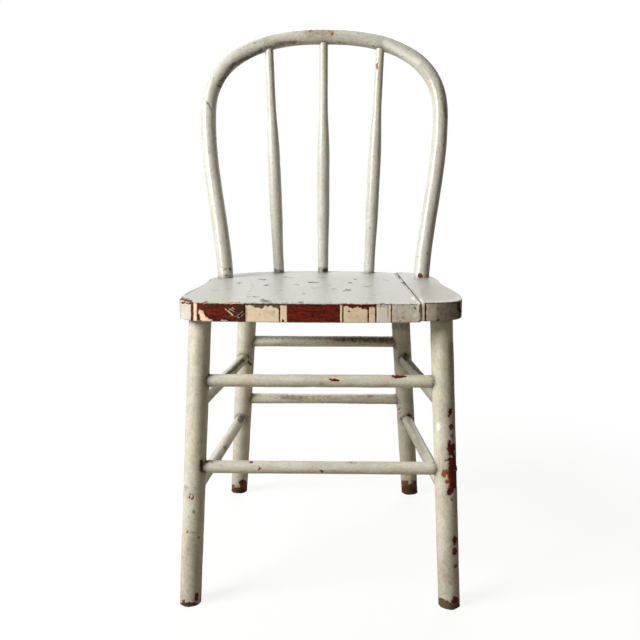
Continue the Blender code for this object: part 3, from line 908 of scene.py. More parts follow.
MARKS["spindle_centre"] = {
    "dark patch at the foot": bare(oval(325, 270.2, 3, 2), GREY),
    "pale chip beside it": undercoat(oval(322.4, 268.6, 2.6, 1.6)),
    "dirt at the foot": grime_and_shade(oval(323.6, 270.4, 7, 3.4), 0.9),
}
MARKS["spindle_right"] = {
    "brown chip near the top": bare(oval(376.9, 66.4, 1.2, 3.4, 8), RUST),
    "pale rim of that chip": stain_and_shade(oval(377, 66.5, 2.4, 4.6, 8), 0.6),
}

# %% [markdown]
# The seat's front edge is the most worn place of all. It reads from left to right as a row
# of panels: bared red wood, cream undercoat, and off-white paint, with dark lines between
# them. The pixels across are the panels' ends, and the pixels down are the edge's height.

# %% Marks on the seat's front edge
EDGE_TOP = 290.0
EDGE_BOTTOM = 334.0


def panel(left, right, top=EDGE_TOP, bottom=EDGE_BOTTOM):
    return block(left, top, right, bottom)


MARKS["seat_front_edge"] = {
    "first dark line": bare(panel(190.9, 193.4)),
    "cream strip": undercoat(panel(193.4, 196.6, 303.6)),
    "second dark line": bare(panel(196.6, 199.4)),
    "red panel": bare(panel(199.2, 246)),
    "cream wedge at its left end": undercoat(streak(200.6, 312, 204.6, 320, 2.5)),
    "cream wedge, lower part": undercoat(streak(202, 318.6, 209, 321, 2.2)),
    "orange chip in the red panel": bare(oval(216.4, 306.4, 1.8, 1.2), RUST),
    "white chip on the top rim": topcoat(oval(222.2, 303, 1.8, 0.9)),
    "first scratch": undercoat(hairline(225.4, 309.2, 232.6, 314.8, 0.50)),
    "second scratch": undercoat(hairline(229.4, 309, 237.4, 313.4, 0.36)),
    "third scratch": undercoat(hairline(231, 315.2, 238.4, 317.6, 0.36)),
    "fourth scratch": undercoat(hairline(236.4, 316.2, 242.8, 311.4, 0.40)),
    "dark mottling": grime_and_shade(oval(240.6, 313, 6.4, 10), 0.9),
    "first white chip below": undercoat(oval(211, 321, 2, 1.3)),
    "second white chip below": undercoat(oval(224, 321.4, 3.4, 1.3)),
    "cream panel": undercoat(panel(245.6, 278.8)),
    "dark rim over the cream panel": bare(streak(246, 303.2, 284, 304.4, 2.3), GREY),
    "drip from the dark rim": bare(streak(255, 306, 262, 306.6, 1.9), GREY),
    "drip near the right end": bare(streak(274, 306, 282, 306.4, 2), GREY),
    "dirt on the dark rim": scratch(streak(246, 303, 284, 304, 1.5), 0.8),
    "third dark line": bare(panel(278.7, 280.3)),
    "cream strip after it": undercoat(panel(280.3, 287, 305.4)),
    "dark nick in that strip": bare(oval(283, 320.6, 1.2, 1.3)),
    "long red panel": bare(panel(286.9, 340.2)),
    "cream strip right of it": undercoat(panel(340.2, 342.4)),
    "greenish line": bare(panel(342.3, 343.7), GREY),
    "wide cream panel": undercoat(panel(343.7, 368)),
    "dark band over the wide panel": bare(streak(343, 304.2, 376, 305.2, 2.2)),
    "beige middle of the wide panel": stain_and_shade(oval(355, 317, 9, 4), 0.55),
    "dot in the wide panel": bare(oval(348.7, 311.4, 1.1, 0.9)),
    "fourth dark line": bare(hairline(368.6, 304, 368.2, 324, 0.75)),
    "cream strip before the paint": undercoat(panel(369.4, 375.4, 308)),
    "fifth dark line": bare(panel(375.2, 376.6)),
    "white paint": topcoat(panel(376.6, 391.2)),
    "cream showing at its right": undercoat(oval(389.4, 312, 1.6, 8)),
    "sixth dark line": bare(panel(391, 392.2), GREY),
    "painted right end": topcoat(panel(392.2, 470)),
    "dirt over the white paint": scratch(streak(376, 304, 391, 304.2, 1), 1.1),
    "dark rim over the right part": scratch(streak(393, 304.6, 417, 304.4, 0.55), 1),
    "ochre stain": stain_and_shade(oval(403.8, 316, 2, 7), 1.8),
    "pink wear": stain_and_shade(oval(399, 311, 5, 6), 0.35),
    "whitish flakes": flake_and_highlight(hairline(418.6, 303, 416.6, 312, 0.7)),
    "hatching left of the crack": scratch(hairline(420.4, 304, 421.2, 322, 0.8), 1),
    "dark lump below the crack": bare(oval(421, 321.6, 1.8, 1.4), GREY),
    "crimson line": bare(panel(424.9, 426.6)),
    "ochre strip": stain_and_shade(panel(426.8, 429.6), 1.1),
    # Dirt and painted shade: the right corner, which turns away from the light, darkened.
    "dirt and painted shade over the right corner": grime_and_shade(panel(436, 470), 0.55),
    # Painted shadow: a dark line under the right board's top rim.
    "painted shadow line under the right rim": scratch(hairline(427, 303.3, 460, 302.6, 0.60), 1.1),
    "yellowish line": stain_and_shade(streak(437.8, 304, 437.8, 321, 0.7), 1),
    "chip on the right corner": bare(streak(458.8, 304, 459.6, 311, 1.4)),
    "small lump on the right corner": lump(oval(461.3, 311, 1.8, 1.6), 1.6),
    "pale line above the red panel": undercoat(streak(202, 303.2, 246, 303.4, 0.45)),
    "dark line in the red panel": scratch(streak(199, 304.2, 216, 303.2, 0.8), 0.8),
    "dark lower edge of the red panel": scratch(streak(212, 321.6, 246, 322.6, 0.9), 0.9),
    "dark lower edge of the long panel": scratch(streak(287, 323.2, 340, 323.4, 0.9), 0.9),
    "dark rim of the long panel": scratch(streak(286, 304.8, 342, 305, 0.7), 0.9),
    "bright grain line": bare(hairline(309.8, 305, 310.2, 322, 0.5), RUST),
    "drip in the wide panel": bare(streak(349, 306.6, 356, 307.2, 1.2)),
    "second drip in the wide panel": bare(streak(360, 306.4, 368, 308.4, 1.5)),
    "warm film on the right end": stain_and_shade(panel(392.2, 425), 0.55),
    "dirt in the right end": grime_and_shade(panel(424, 436), 0.22),
    "white flakes by the crack": flake_and_highlight(streak(418.4, 310, 421.6, 320, 1.3)),
    "more white flakes": flake_and_highlight(streak(422.6, 303, 423.4, 314, 0.9)),
    # Painted shade on the right corner's side, which faces away from the light.
    "painted shade on the right corner's side": grime_and_shade(streak(458, 303, 459, 318, 2), 1),
    "scuff on the first white panel": grime_and_shade(oval(182, 307, 3, 6), 0.18),
    # Painted light: these four marks lift the front edge's paint paler than the same paint on the
    # seat's top.
    "first panel lifted paler, painted light": pale_paint_and_light(panel(176, 191), 0.40),
    "pale paint": pale_paint_and_light(panel(376.6, 391.2), 0.85),
    "right end lifted paler, painted light": pale_paint_and_light(panel(392.2, 425), 0.55),
    "corner lifted paler, painted light": pale_paint_and_light(panel(425, 440), 0.25),
    "dirty drips": scratch(streak(378, 306, 388, 307, 0.7), 0.6),
    "dirt in the cream panel": grime_and_shade(oval(272, 313, 3, 3), 0.3),
    "specks in the cream panel": scratch(oval(259.4, 315, 0.7, 0.8), 0.8),
    "dark knots in the red panel": scratch(oval(226, 318.6, 5, 1.4), 0.8),
    "more dark wood in the red panel": scratch(oval(236, 319.4, 4, 1.8), 0.8),
    "dark left end of the long panel": scratch(oval(290, 307, 3, 2.4), 0.7),
    "worn upper corner of the first panel": bare(streak(181, 302.6, 190.4, 303.6, 0.8), RED),
    "stain under that corner": stain_and_shade(streak(181, 305.2, 186, 305.8, 1.2), 1),
    "white flake at the joint": flake_and_highlight(streak(424, 302.4, 424.6, 309, 0.5)),
    "dark line beside the flakes": scratch(hairline(419.8, 303.6, 419, 320, 0.45), 0.9),
    "second pale scratch by the crack": flake_and_highlight(hairline(415.6, 306, 413.6, 320, 0.5), 0.7),
    "warm film on the right board": stain_and_shade(panel(425, 470), 0.75),
    "dirt in the first dark line": scratch(hairline(192.3, 302, 192.3, 322, 0.45), 0.8),
    "dirt in the second dark line": scratch(hairline(198.2, 302, 198.2, 322, 0.55), 0.8),
    "dirt in the fifth dark line": scratch(hairline(376, 304, 376, 324, 0.45), 0.8),
    "dark left half of the red panel": grime_and_shade(oval(206, 308, 8, 6), 0.30),
    "scratches over the dark mottling": undercoat(hairline(238.4, 318.4, 244.6, 313.6, 0.30)),
    "fleck by the scratches": undercoat(oval(233, 308.4, 1, 0.5, 30)),
    "torn lower edge of the red panel": undercoat(oval(236, 322.6, 2.4, 0.9)),
    "pink rim under the top, right": stain_and_shade(streak(394, 305.6, 416, 305.4, 0.9), 1),
    "dark rim at the left of the red panel": scratch(streak(200, 304.4, 246, 304.8, 0.45), 0.9),
    # White flakes and a painted highlight on the pale paint, in this and the next mark.
    "white flake and painted highlight on the pale paint": flake_and_highlight(oval(380.4, 312, 2.8, 5.6, 8), 0.75),
    "small white flake and painted highlight right of it": flake_and_highlight(oval(387, 316, 1.6, 3.2, -10), 0.55),
    "white flake left of the crack": flake_and_highlight(oval(416.2, 312, 3.6, 6.6, 14), 0.85),
    "dark hatching in the flake": scratch(hairline(412.4, 307, 413.6, 316, 0.30), 0.6),
    "ochre run under the sixth line": stain_and_shade(oval(397.4, 318, 2.4, 3.6), 1),
    "white rim on the lower corner": flake_and_highlight(streak(394, 321.6, 410, 321.4, 0.7), 0.6),
}

# %% Marks on the seat's top
MARKS["seat_top"] = {
    "wear along the left edge": grime_and_shade(streak(186, 294, 214, 277, 1), 0.5),
    "faint old crack": scratch(streak(246, 300, 253, 287, 0.35), 0.5),
    "faint old crack, upper part": scratch(streak(253, 287, 248, 276, 0.3), 0.4),
    "dent in the open joint": bare(oval(402.8, 283, 2.2, 0.7, 20), GREY),
    "dirt along the open joint": scratch(streak(395, 273, 407, 287, 0.6), 0.9),
    "dirt along the joint, front": scratch(streak(407, 287, 420, 300.5, 0.35), 0.6),
    "flakes at the joint's front": flake_and_highlight(oval(420.4, 299.8, 3.2, 1.3, 40)),
    "tan wear on the right board": stain_and_shade(oval(438, 293, 18, 8), 0.42),
    "dark nick": grime_and_shade(oval(264.5, 300, 4, 0.6, 4), 1),
    "nick by the rim, left": scratch(oval(265.6, 301.4, 4.6, 0.7, 3), 1.1),
    "nick by the rim, right": scratch(oval(301, 302.2, 3, 0.6), 1),
    "red wood on the left corner": bare(streak(180.8, 298.6, 190.8, 300.9, 1.5), RED),
    "dirt on the left corner": scratch(streak(182, 299, 191, 301.2, 0.5), 0.6),
    "tan wear along the open joint": stain_and_shade(streak(404, 284, 418, 296, 1.6), 0.5),
    "dull right board": grime_and_shade(oval(440, 292, 20, 9), 0.16),
    "paint left on the left corner": topcoat(oval(186.8, 299.4, 1.3, 0.5, 12)),
    "more paint left there": topcoat(oval(183, 300.4, 0.9, 0.5)),
    "pink rim over the red panel": stain_and_shade(streak(193, 301.9, 246, 302.6, 0.30), 1.2),
    "knocked rim, first": bare(oval(205, 302.2, 4, 0.35), RUST),
    "knocked rim, second": bare(oval(236, 302.6, 6, 0.35), RED),
    "dark rim over the cream panel": bare(streak(246, 302.9, 284, 303.4, 0.35), GREY),
    "dark rim over the long panel": scratch(streak(284, 303.3, 342, 303.5, 0.22), 1),
    "knocked rim, third": bare(oval(356, 303.6, 9, 0.40), RED),
    "knocked rim, fourth": bare(oval(384, 303.4, 5, 0.35), GREY),
    "flake left of the joint": flake_and_highlight(streak(412, 297.6, 417.6, 302, 0.7), 0.9),
}
DASHES = (
    (238.5, 283, 3, 0.55, -6, 1),
    (262, 279.4, 5, 0.5, 6, 0.8),
    (266.4, 285, 3, 0.6, 0, 0.8),
    (313, 282.4, 6, 0.5, 3, 1),
    (315, 288, 4, 0.4, -8, 0.35),
    (303, 294, 2.4, 0.6, 0, 0.7),
    (330, 285, 3, 0.4, 0, 0.4),
    (349.6, 283, 2, 0.6, 0, 1.2),
    (347, 290.2, 4.4, 0.7, -12, 0.9),
    (355.5, 278.9, 1.2, 0.7, 0, 0.9),
    (254, 296.6, 7, 0.45, 2, 0.7),
    (289, 277.4, 5, 0.45, 8, 0.8),
    (296, 284.6, 3, 0.5, 0, 0.7),
    (281, 290.4, 4, 0.35, -6, 0.35),
    (334, 289, 3, 0.5, 8, 0.8),
    (368, 286.4, 5, 0.45, -8, 0.8),
    (375, 294.6, 3, 0.35, 0, 0.35),
    (321.6, 277.8, 5, 0.35, 0, 0.5),
    (214, 290.4, 5, 0.4, -8, 0.6),
    (386, 280.6, 3, 0.45, 12, 0.6),
)
for number, (x, y, half_width, half_height, turn, amount) in enumerate(DASHES, 1):
    dash = oval(x, y, half_width, half_height, turn)
    MARKS["seat_top"]["dash " + str(number)] = scratch(dash, amount)
print("marks:", sum(len(marks) for marks in MARKS.values()))

# %% [markdown]
# Dirt gathers where pieces meet, and the same darkening also paints the shade there. Each
# stick's centre line is known, so for any vertex the gap to its neighbours is easy to work
# out: the nearer the neighbour, the more dirt and painted shade.

# %% Dirt and painted shade in the corners
CORNER_REACH_MM = 3.5
CORNER_DIRT_AND_SHADE = 0.95


def gap_to_stick(points, start, end, radius):
    """Millimetres from each point to the surface of a round stick."""
    start = np.array(start)
    run = np.array(end) - start
    share = np.clip((points - start) @ run / (run @ run), 0.0, 1.0)
    gap = np.linalg.norm(points - start - share[:, None] * run, axis=1) - radius
    return gap * 1000.0


def corner_dirt_and_shade(name, points):
    nearest = np.full(len(points), 100.0)
    for other, (start, end, radius) in STICKS.items():
        if other != name:
            nearest = np.minimum(nearest, gap_to_stick(points, start, end, radius))
    if name.startswith("leg"):
        nearest = np.minimum(nearest, (SEAT_UNDERSIDE - points[:, 2]) * 1000.0)
    if name.startswith(("spindle", "back_bow")):
        nearest = np.minimum(nearest, (points[:, 2] - SEAT_TOP) * 1000.0)
    return CORNER_DIRT_AND_SHADE * np.exp(-np.maximum(nearest, 0.0) / CORNER_REACH_MM)


# %% [markdown]
# The photograph doesn't show the back and the far sides. They get wear of the same kind at
# random places: small uneven ovals, longer along the stick than across it. The random
# numbers are seeded by the piece, so every run puts them in the same places.

# %% Wear on the sides that the photograph doesn't show
HIDDEN_SCARS = {"frame_paint": 9, "back_paint": 7, "seat_paint": 12}
SCAR_RADII_MM = (1.0, 5.5)
SCAR_STRETCH = 3.2
SCAR_WOBBLE_MM = 1.5
UNDERCOAT_RIM_MM = 1.6


def hidden_scars(seed, count, place, facing):
    """How far inside the nearest random scar each vertex lies, in millimetres."""
    draw = random.Random(seed)
    hidden = np.flatnonzero(facing < -0.1)
    deepest = np.full(len(place), OUTSIDE)
    waves = place * 1000.0
    wobble = np.sin(1.1 * waves[:, 0] + 2.0 * np.sin(0.35 * waves[:, 2]))
    wobble += 0.8 * np.sin(0.62 * waves[:, 2] + 1.3 * waves[:, 1]) + 0.5 * np.sin(1.7 * waves[:, 2])
    for _ in range(count):
        centre = place[hidden[draw.randrange(len(hidden))]]
        radius = draw.uniform(*SCAR_RADII_MM) * draw.random() + 0.8
        offset = (place - centre) * 1000.0
        offset[:, 2] /= draw.uniform(1.0, SCAR_STRETCH)
        deepest = np.maximum(deepest, radius - np.linalg.norm(offset, axis=1))
    return deepest + np.where(deepest > OUTSIDE, SCAR_WOBBLE_MM * wobble * 0.5, 0.0)


# %% [markdown]
# All of this goes into a few numbers on each vertex, which the materials read: how far
# inside a chip of the top coat it lies, how far inside a patch of bare wood, the wood's
# tone, the dirt, which also holds painted shade, the stain, which holds a little painted
# shade, and how pale the paint has gone, which also holds painted light. The same numbers
# move the vertices: a chip is a real hollow as deep as the paint was thick, and the paint
# beside it stands proud.

# %% Put the wear and painted light on a piece
COAT_MM = 0.30
EDGE_SOFT_MM = 1.2
SMUDGE_SOFT_MM = 5.0
LYING_SOFTNESS = 0.35
SMUDGES = ("grime", "stain", "pale")
# The dirt film also holds painted shade, and the pale film painted light and highlights.
FILM_OF = {
    "grime": "dirt",
    "scratch": "dirt",
    "stain": "stain",
    "pale": "pale",
    "flake": "pale",
}
LYING = 0.97
JOINTS_WITHIN = 0.16
JOINT_WALL = 0.9
JOINT_RIM = 0.69
JOINT_WALL_SHADE = 1.2
RIM_SLANT = 0.7
RIM_SLANT_RANGE = 0.35
RIM_WEAR_MM = 2.0
RIM_HELD_MM = 1.9
RIM_WOOD_MM = 0.5
RIM_START = 0.35
RIM_WIDTH_MM = 4.0
RIM_RAGGED_MM = 0.7
FRONT_REACH = 0.08
UNLIMITED_MM = 100.0
TONE_STRIPES = 90.0
TONE_REACH_MM = 1.5
SOLE_SLANT = 0.7
FLOOR_SKIN = 0.0005
FACING_SPARE = 0.12
SOLE_HEIGHT = 0.002
SOLE_BARE_MM = 3.0
SPLASH_DIRT = 0.42
SPLASH_HEIGHT = 0.075
FADE_PAST_RIM_MM = 14.0


def read_vectors(items, name, count):
    values = np.empty(count * 3)
    items.foreach_get(name, values)
    return values.reshape(-1, 3)


def store(mesh, name, values):
    attribute = mesh.attributes.new(name, "FLOAT", "POINT")
    attribute.data.foreach_set("value", values.astype(np.float32))


def ease(values):
    values = np.clip(values, 0.0, 1.0)
    return values * values * (3.0 - 2.0 * values)


def put_wear_and_painted_light_on(name, piece, marks, edge_marks, seed):
    """edge_marks are kept to the surfaces that face forward, below the seat's top rim."""
    mesh = piece.data
    count = len(mesh.vertices)
    points = read_vectors(mesh.vertices, "co", count)
    normals = read_vectors(mesh.vertex_normals, "vector", count)
    place = read_vectors(mesh.attributes[STICK_PLACE].data, "vector", count)
    to_camera = np.array(CAMERA_PLACE) - points
    to_camera /= np.linalg.norm(to_camera, axis=1)[:, None]
    facing = (normals * to_camera).sum(axis=1)
    across, down, mm_per_pixel = photo_places(points)

    chip = hidden_scars(seed, HIDDEN_SCARS[piece["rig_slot"]], place, facing)
    wood = chip - UNDERCOAT_RIM_MM
    tone = np.full(count, RUST) * (np.sin(place[:, 2] * TONE_STRIPES + seed) > 0.0)
    # The dirt near where pieces meet is partly painted shade.
    dirt = corner_dirt_and_shade(name, points)
    if name.startswith("leg"):
        dirt = np.maximum(dirt, SPLASH_DIRT * np.exp(-points[:, 2] / SPLASH_HEIGHT))
        sole = (normals[:, 2] < -SOLE_SLANT) & (points[:, 2] < SOLE_HEIGHT)
        wood = np.where(sole, SOLE_BARE_MM, wood)
        tone = np.where(sole, GREY, tone)
    if name.startswith("seat"):
        sideways = np.abs(normals[:, 0])
        inner = np.abs(points[:, 0]) < JOINTS_WITHIN
        # The side walls of the board joints are darkened fully: painted shade in the cracks.
        dirt = np.where(inner & (sideways > JOINT_WALL), JOINT_WALL_SHADE, dirt)
        rim = 1.0 - np.abs(np.abs(normals[:, 2]) - RIM_SLANT) / RIM_SLANT_RANGE
        rim = np.where(inner & (sideways > JOINT_RIM), 0.0, rim)
        chip = np.maximum(chip, rim * RIM_WEAR_MM - RIM_HELD_MM)
        wood = np.maximum(wood, rim * RIM_WEAR_MM - RIM_HELD_MM - RIM_WOOD_MM)
    films = {"dirt": dirt, "stain": np.zeros(count), "pale": np.zeros(count)}
    height = np.zeros(count)
    ragged = np.sin(1.9 * across + 2.0 * np.sin(0.7 * across)) + 0.6 * np.sin(4.3 * across)
    below_rim = (-normals[:, 1] - RIM_START) * RIM_WIDTH_MM + RIM_RAGGED_MM * ragged
    on_front = np.where(points[:, 1] < SEAT_FRONT_Y + FRONT_REACH, below_rim, OUTSIDE)
    everywhere = np.full(count, UNLIMITED_MM)
    lying = normals[:, 2] > LYING
    listed = [(mark, everywhere) for mark in marks] + [(mark, on_front) for mark in edge_marks]
    for (kind, shape, value), limit in listed:
        inside = shape(across, down) * mm_per_pixel
        soft = SMUDGE_SOFT_MM if kind in SMUDGES else EDGE_SOFT_MM
        soft = np.where(lying, soft * LYING_SOFTNESS, soft)
        limit = np.minimum(limit, (facing + FACING_SPARE) * FADE_PAST_RIM_MM)
        amount = ease(inside / soft + 0.5) * ease(limit / EDGE_SOFT_MM + 0.5) * value
        inside = np.minimum(inside, limit)
        if kind == "bare":
            tone = np.where(inside > np.maximum(wood, -TONE_REACH_MM), value, tone)
            wood = np.maximum(wood, inside)
        elif kind == "undercoat":
            chip = np.maximum(chip, inside)
            wood = np.minimum(wood, -inside)
        elif kind == "topcoat":
            chip = np.minimum(chip, -inside)
            wood = np.minimum(wood, -inside)
        elif kind in FILM_OF:
            film = FILM_OF[kind]
            films[film] = np.maximum(films[film], amount)
        else:
            height += amount
    chip = np.maximum(chip, wood)
    store(mesh, "chip", np.maximum(chip, OUTSIDE))
    store(mesh, "wood", np.maximum(wood, OUTSIDE))
    store(mesh, "tone", tone)
    for label, values in films.items():
        store(mesh, label, values)
    worn_away = COAT_MM * (ease(chip / EDGE_SOFT_MM + 0.5) + ease(wood / EDGE_SOFT_MM + 0.5))
    moved = points + normals * ((height - worn_away) / 1000.0)[:, None]
    moved[:, 2] = np.where(points[:, 2] < FLOOR_SKIN, points[:, 2], moved[:, 2])
    moved[:, 2] = np.maximum(moved[:, 2], 0.0)
    mesh.vertices.foreach_set("co", moved.ravel())
    mesh.update()


for seed, (name, piece) in enumerate(PIECES.items()):
    on_seat = name.startswith("seat")
    marks = MARKS.get("seat_top" if on_seat else name, {})
    edge_marks = MARKS["seat_front_edge"] if on_seat else {}
    put_wear_and_painted_light_on(name, piece, marks.values(), edge_marks.values(), seed)
print("wear is on", len(PIECES), "pieces")

# %% [markdown]
# The materials are built from a few node groups, each for one effect. A helper adds a node
# and plugs its inputs: a socket is linked and a plain value is set.

# %% Helpers for nodes
def add_node(tree, kind, sockets=(), **settings):
    node = tree.nodes.new("ShaderNode" + kind)
    for key, value in settings.items():
        setattr(node, key, value)
    for key, value in dict(sockets).items():
        if isinstance(value, bpy.types.NodeSocket):
            tree.links.new(value, node.inputs[key])
        else:
            node.inputs[key].default_value = value
    return node


def math_node(tree, operation, first, second=0.0, third=0.0, clamp=False):
    sockets = {0: first, 1: second, 2: third}
    return add_node(tree, "Math", sockets, operation=operation, use_clamp=clamp).outputs[0]


def mix_colours(tree, share, first, second, blend="MIX"):
    sockets = {"Factor": share, 6: first, 7: second}
    node = add_node(tree, "Mix", sockets, data_type="RGBA", blend_type=blend)
    return node.outputs[2]


def ramp_between(tree, value, low, high):
    """0 below low, 1 above high, and a smooth rise between."""
    sockets = {"Value": value, "From Min": low, "From Max": high}
    return add_node(
        tree, "MapRange", sockets, interpolation_type="SMOOTHSTEP"
    ).outputs["Result"]


def noise_at(tree, place, scale, detail=3.0, stretch=None):
    """Noise in 3-D; stretch squeezes the place first, so that the noise runs along a stick."""
    if stretch:
        place = add_node(tree, "Mapping", {"Vector": place, "Scale": stretch}).outputs[0]
    sockets = {"Vector": place, "Scale": scale, "Detail": detail}
    return add_node(tree, "TexNoise", sockets).outputs["Fac"]


def new_group(name, inputs, outputs):
    group = bpy.data.node_groups.new(name, "ShaderNodeTree")
    for label, kind in inputs:
        group.interface.new_socket(label, in_out="INPUT", socket_type="NodeSocket" + kind)
    for label, kind in outputs:
        group.interface.new_socket(label, in_out="OUTPUT", socket_type="NodeSocket" + kind)
    given = group.nodes.new("NodeGroupInput").outputs
    return group, given, group.nodes.new("NodeGroupOutput").inputs


def use_group(tree, group, sockets):
    return add_node(tree, "Group", sockets, node_tree=group).outputs


# %% [markdown]
# A torn edge: paint breaks off in a ragged line. Two noises, one coarse and one fine, push
# the chip's edge in and out by part of a millimetre before it is cut off sharply.

# %% Torn edge
torn_edge, given, result = new_group(
    "torn edge",
    [("Depth", "Float"), ("Place", "Vector"), ("Raggedness", "Float")],
    [("Mask", "Float")],
)
coarse = math_node(torn_edge, "SUBTRACT", noise_at(torn_edge, given["Place"], 170.0, 5.0), 0.5)
fine = math_node(torn_edge, "SUBTRACT", noise_at(torn_edge, given["Place"], 620.0, 4.0), 0.5)
rough = math_node(torn_edge, "MULTIPLY_ADD", fine, 0.75, coarse)
pushed = math_node(torn_edge, "MULTIPLY_ADD", rough, given["Raggedness"], given["Depth"])
torn_edge.links.new(ramp_between(torn_edge, pushed, -0.12, 0.12), result["Mask"])

# %% [markdown]
# Brushed paint: two tints drift into each other in slow patches and fine strokes that run
# along the stick. Its height gives the strokes and the lumps that catch the light.

# %% Brushed paint
STROKES = (1.0, 1.0, 0.10)
MOTTLE = (1.0, 1.0, 0.55)
STROKE_HEIGHT = 0.018
LUMP_HEIGHT = 0.10

brushed_paint, given, result = new_group(
    "brushed paint",
    [("Place", "Vector"), ("Cool", "Color"), ("Warm", "Color"), ("Drift", "Float")],
    [("Color", "Color"), ("Height", "Float")],
)
patches = noise_at(brushed_paint, given["Place"], 34.0, 4.0)
strokes = noise_at(brushed_paint, given["Place"], 420.0, 3.0, STROKES)
mixed = math_node(brushed_paint, "MULTIPLY_ADD", strokes, 0.45, patches)
share = ramp_between(brushed_paint, mixed, 0.58, 0.95)
share = math_node(brushed_paint, "MULTIPLY", share, given["Drift"])
tint = mix_colours(brushed_paint, share, given["Cool"], given["Warm"])
mottle = noise_at(brushed_paint, given["Place"], 330.0, 6.0, MOTTLE)
mottle_range = {"Value": mottle, "From Min": 0.3, "From Max": 0.7, "To Min": 0.80, "To Max": 1.04}
mottle = add_node(brushed_paint, "MapRange", mottle_range).outputs[0]
tint = mix_colours(brushed_paint, 1.0, tint, mottle, "MULTIPLY")
brushed_paint.links.new(tint, result["Color"])
lumps = noise_at(brushed_paint, given["Place"], 120.0, 2.0)
stroke_bumps = math_node(brushed_paint, "MULTIPLY", strokes, STROKE_HEIGHT)
bumps = math_node(brushed_paint, "MULTIPLY_ADD", lumps, LUMP_HEIGHT, stroke_bumps)
brushed_paint.links.new(bumps, result["Height"])

# %% [markdown]
# Old wood: the tone says whether it is stained dark red, rubbed to a rusty orange or bare
# and grey. Grain is noise drawn out along the stick, and it darkens the colour in lines.

# %% Old wood
GRAIN = (1.0, 1.0, 0.045)
WOOD_RED_DARK = (0.034, 0.0025, 0.0008, 1.0)
WOOD_RED = (0.225, 0.018, 0.003, 1.0)
WOOD_RUST = (0.300, 0.085, 0.022, 1.0)
WOOD_GREY = (0.130, 0.088, 0.050, 1.0)

old_wood, given, result = new_group(
    "old wood",
    [("Place", "Vector"), ("Tone", "Float")],
    [("Color", "Color"), ("Height", "Float")],
)
grain = noise_at(old_wood, given["Place"], 640.0, 4.0, GRAIN)
blotches = noise_at(old_wood, given["Place"], 90.0, 3.0)
knots = noise_at(old_wood, given["Place"], 260.0, 5.0)
shade = math_node(old_wood, "MULTIPLY_ADD", knots, 0.7, math_node(old_wood, "MULTIPLY", grain, 0.8))
red = mix_colours(old_wood, ramp_between(old_wood, shade, 0.55, 0.96), WOOD_RED_DARK, WOOD_RED)
red = mix_colours(old_wood, ramp_between(old_wood, blotches, 0.50, 0.80), red, WOOD_RED)
warmer = ramp_between(old_wood, given["Tone"], 0.1, 0.45)
greyer = ramp_between(old_wood, given["Tone"], 0.6, 0.95)
colour = mix_colours(old_wood, warmer, red, WOOD_RUST)
colour = mix_colours(old_wood, greyer, colour, WOOD_GREY)
lines = math_node(old_wood, "MULTIPLY_ADD", grain, 0.9, 0.55)
colour = mix_colours(old_wood, 0.7, colour, lines, "MULTIPLY")
old_wood.links.new(colour, result["Color"])
old_wood.links.new(math_node(old_wood, "MULTIPLY", grain, 0.12), result["Height"])

# %% [markdown]
# Grime: dirt, with the painted shade that rides on it, is thick where the vertices say so,
# broken up by noise, and a thin film of dirt lies in faint streaks everywhere. Specks are
# tiny dark pits that years of knocks leave.

# %% Grime, painted shade and specks
grime, given, result = new_group(
    "grime",
    [("Place", "Vector"), ("Amount", "Float"), ("Film", "Float")],
    [("Mask", "Float")],
)
broken = noise_at(grime, given["Place"], 210.0, 5.0)
streaky = noise_at(grime, given["Place"], 150.0, 4.0, (1.0, 1.0, 0.12))
uneven = math_node(grime, "MULTIPLY_ADD", broken, 1.7, 0.06)
thick = math_node(grime, "MULTIPLY", given["Amount"], uneven, clamp=True)
film = math_node(grime, "MULTIPLY", ramp_between(grime, streaky, 0.42, 0.78), given["Film"])
total = math_node(grime, "MAXIMUM", thick, film)
grime.links.new(total, result["Mask"])

SPECK_PUSH = 0.006
specks, given, result = new_group(
    "specks",
    [("Place", "Vector"), ("Spacing", "Float"), ("Size", "Float"), ("Share", "Float")],
    [("Mask", "Float")],
)
push_noise = {"Vector": given["Place"], "Scale": 260.0, "Detail": 3.0}
push = add_node(specks, "TexNoise", push_noise).outputs["Color"]
push = add_node(specks, "VectorMath", {0: push, "Scale": SPECK_PUSH}, operation="SCALE").outputs[0]
pushed_place = add_node(specks, "VectorMath", {0: given["Place"], 1: push}, operation="ADD")
speck_cells = {"Vector": pushed_place.outputs[0], "Scale": given["Spacing"]}
cells = add_node(specks, "TexVoronoi", speck_cells)
lots = add_node(specks, "SeparateColor", {"Color": cells.outputs["Color"]}).outputs
radius = math_node(specks, "MULTIPLY", lots["Red"], given["Size"])
dot = math_node(specks, "LESS_THAN", cells.outputs["Distance"], radius)
lucky = math_node(specks, "LESS_THAN", lots["Green"], given["Share"])
specks.links.new(math_node(specks, "MULTIPLY", dot, lucky), result["Mask"])

# %% [markdown]
# A finish stacks these: wood at the bottom, the cream undercoat over it, the off-white top
# coat last, and grime with its painted shade over all. Every edge between two coats is also
# a small step in the bump, because the paint has a thickness that the light catches.

# %% Paint finishes
CREAM = (0.92, 0.75, 0.56, 1.0)
CREAM_DARK = (0.78, 0.58, 0.40, 1.0)
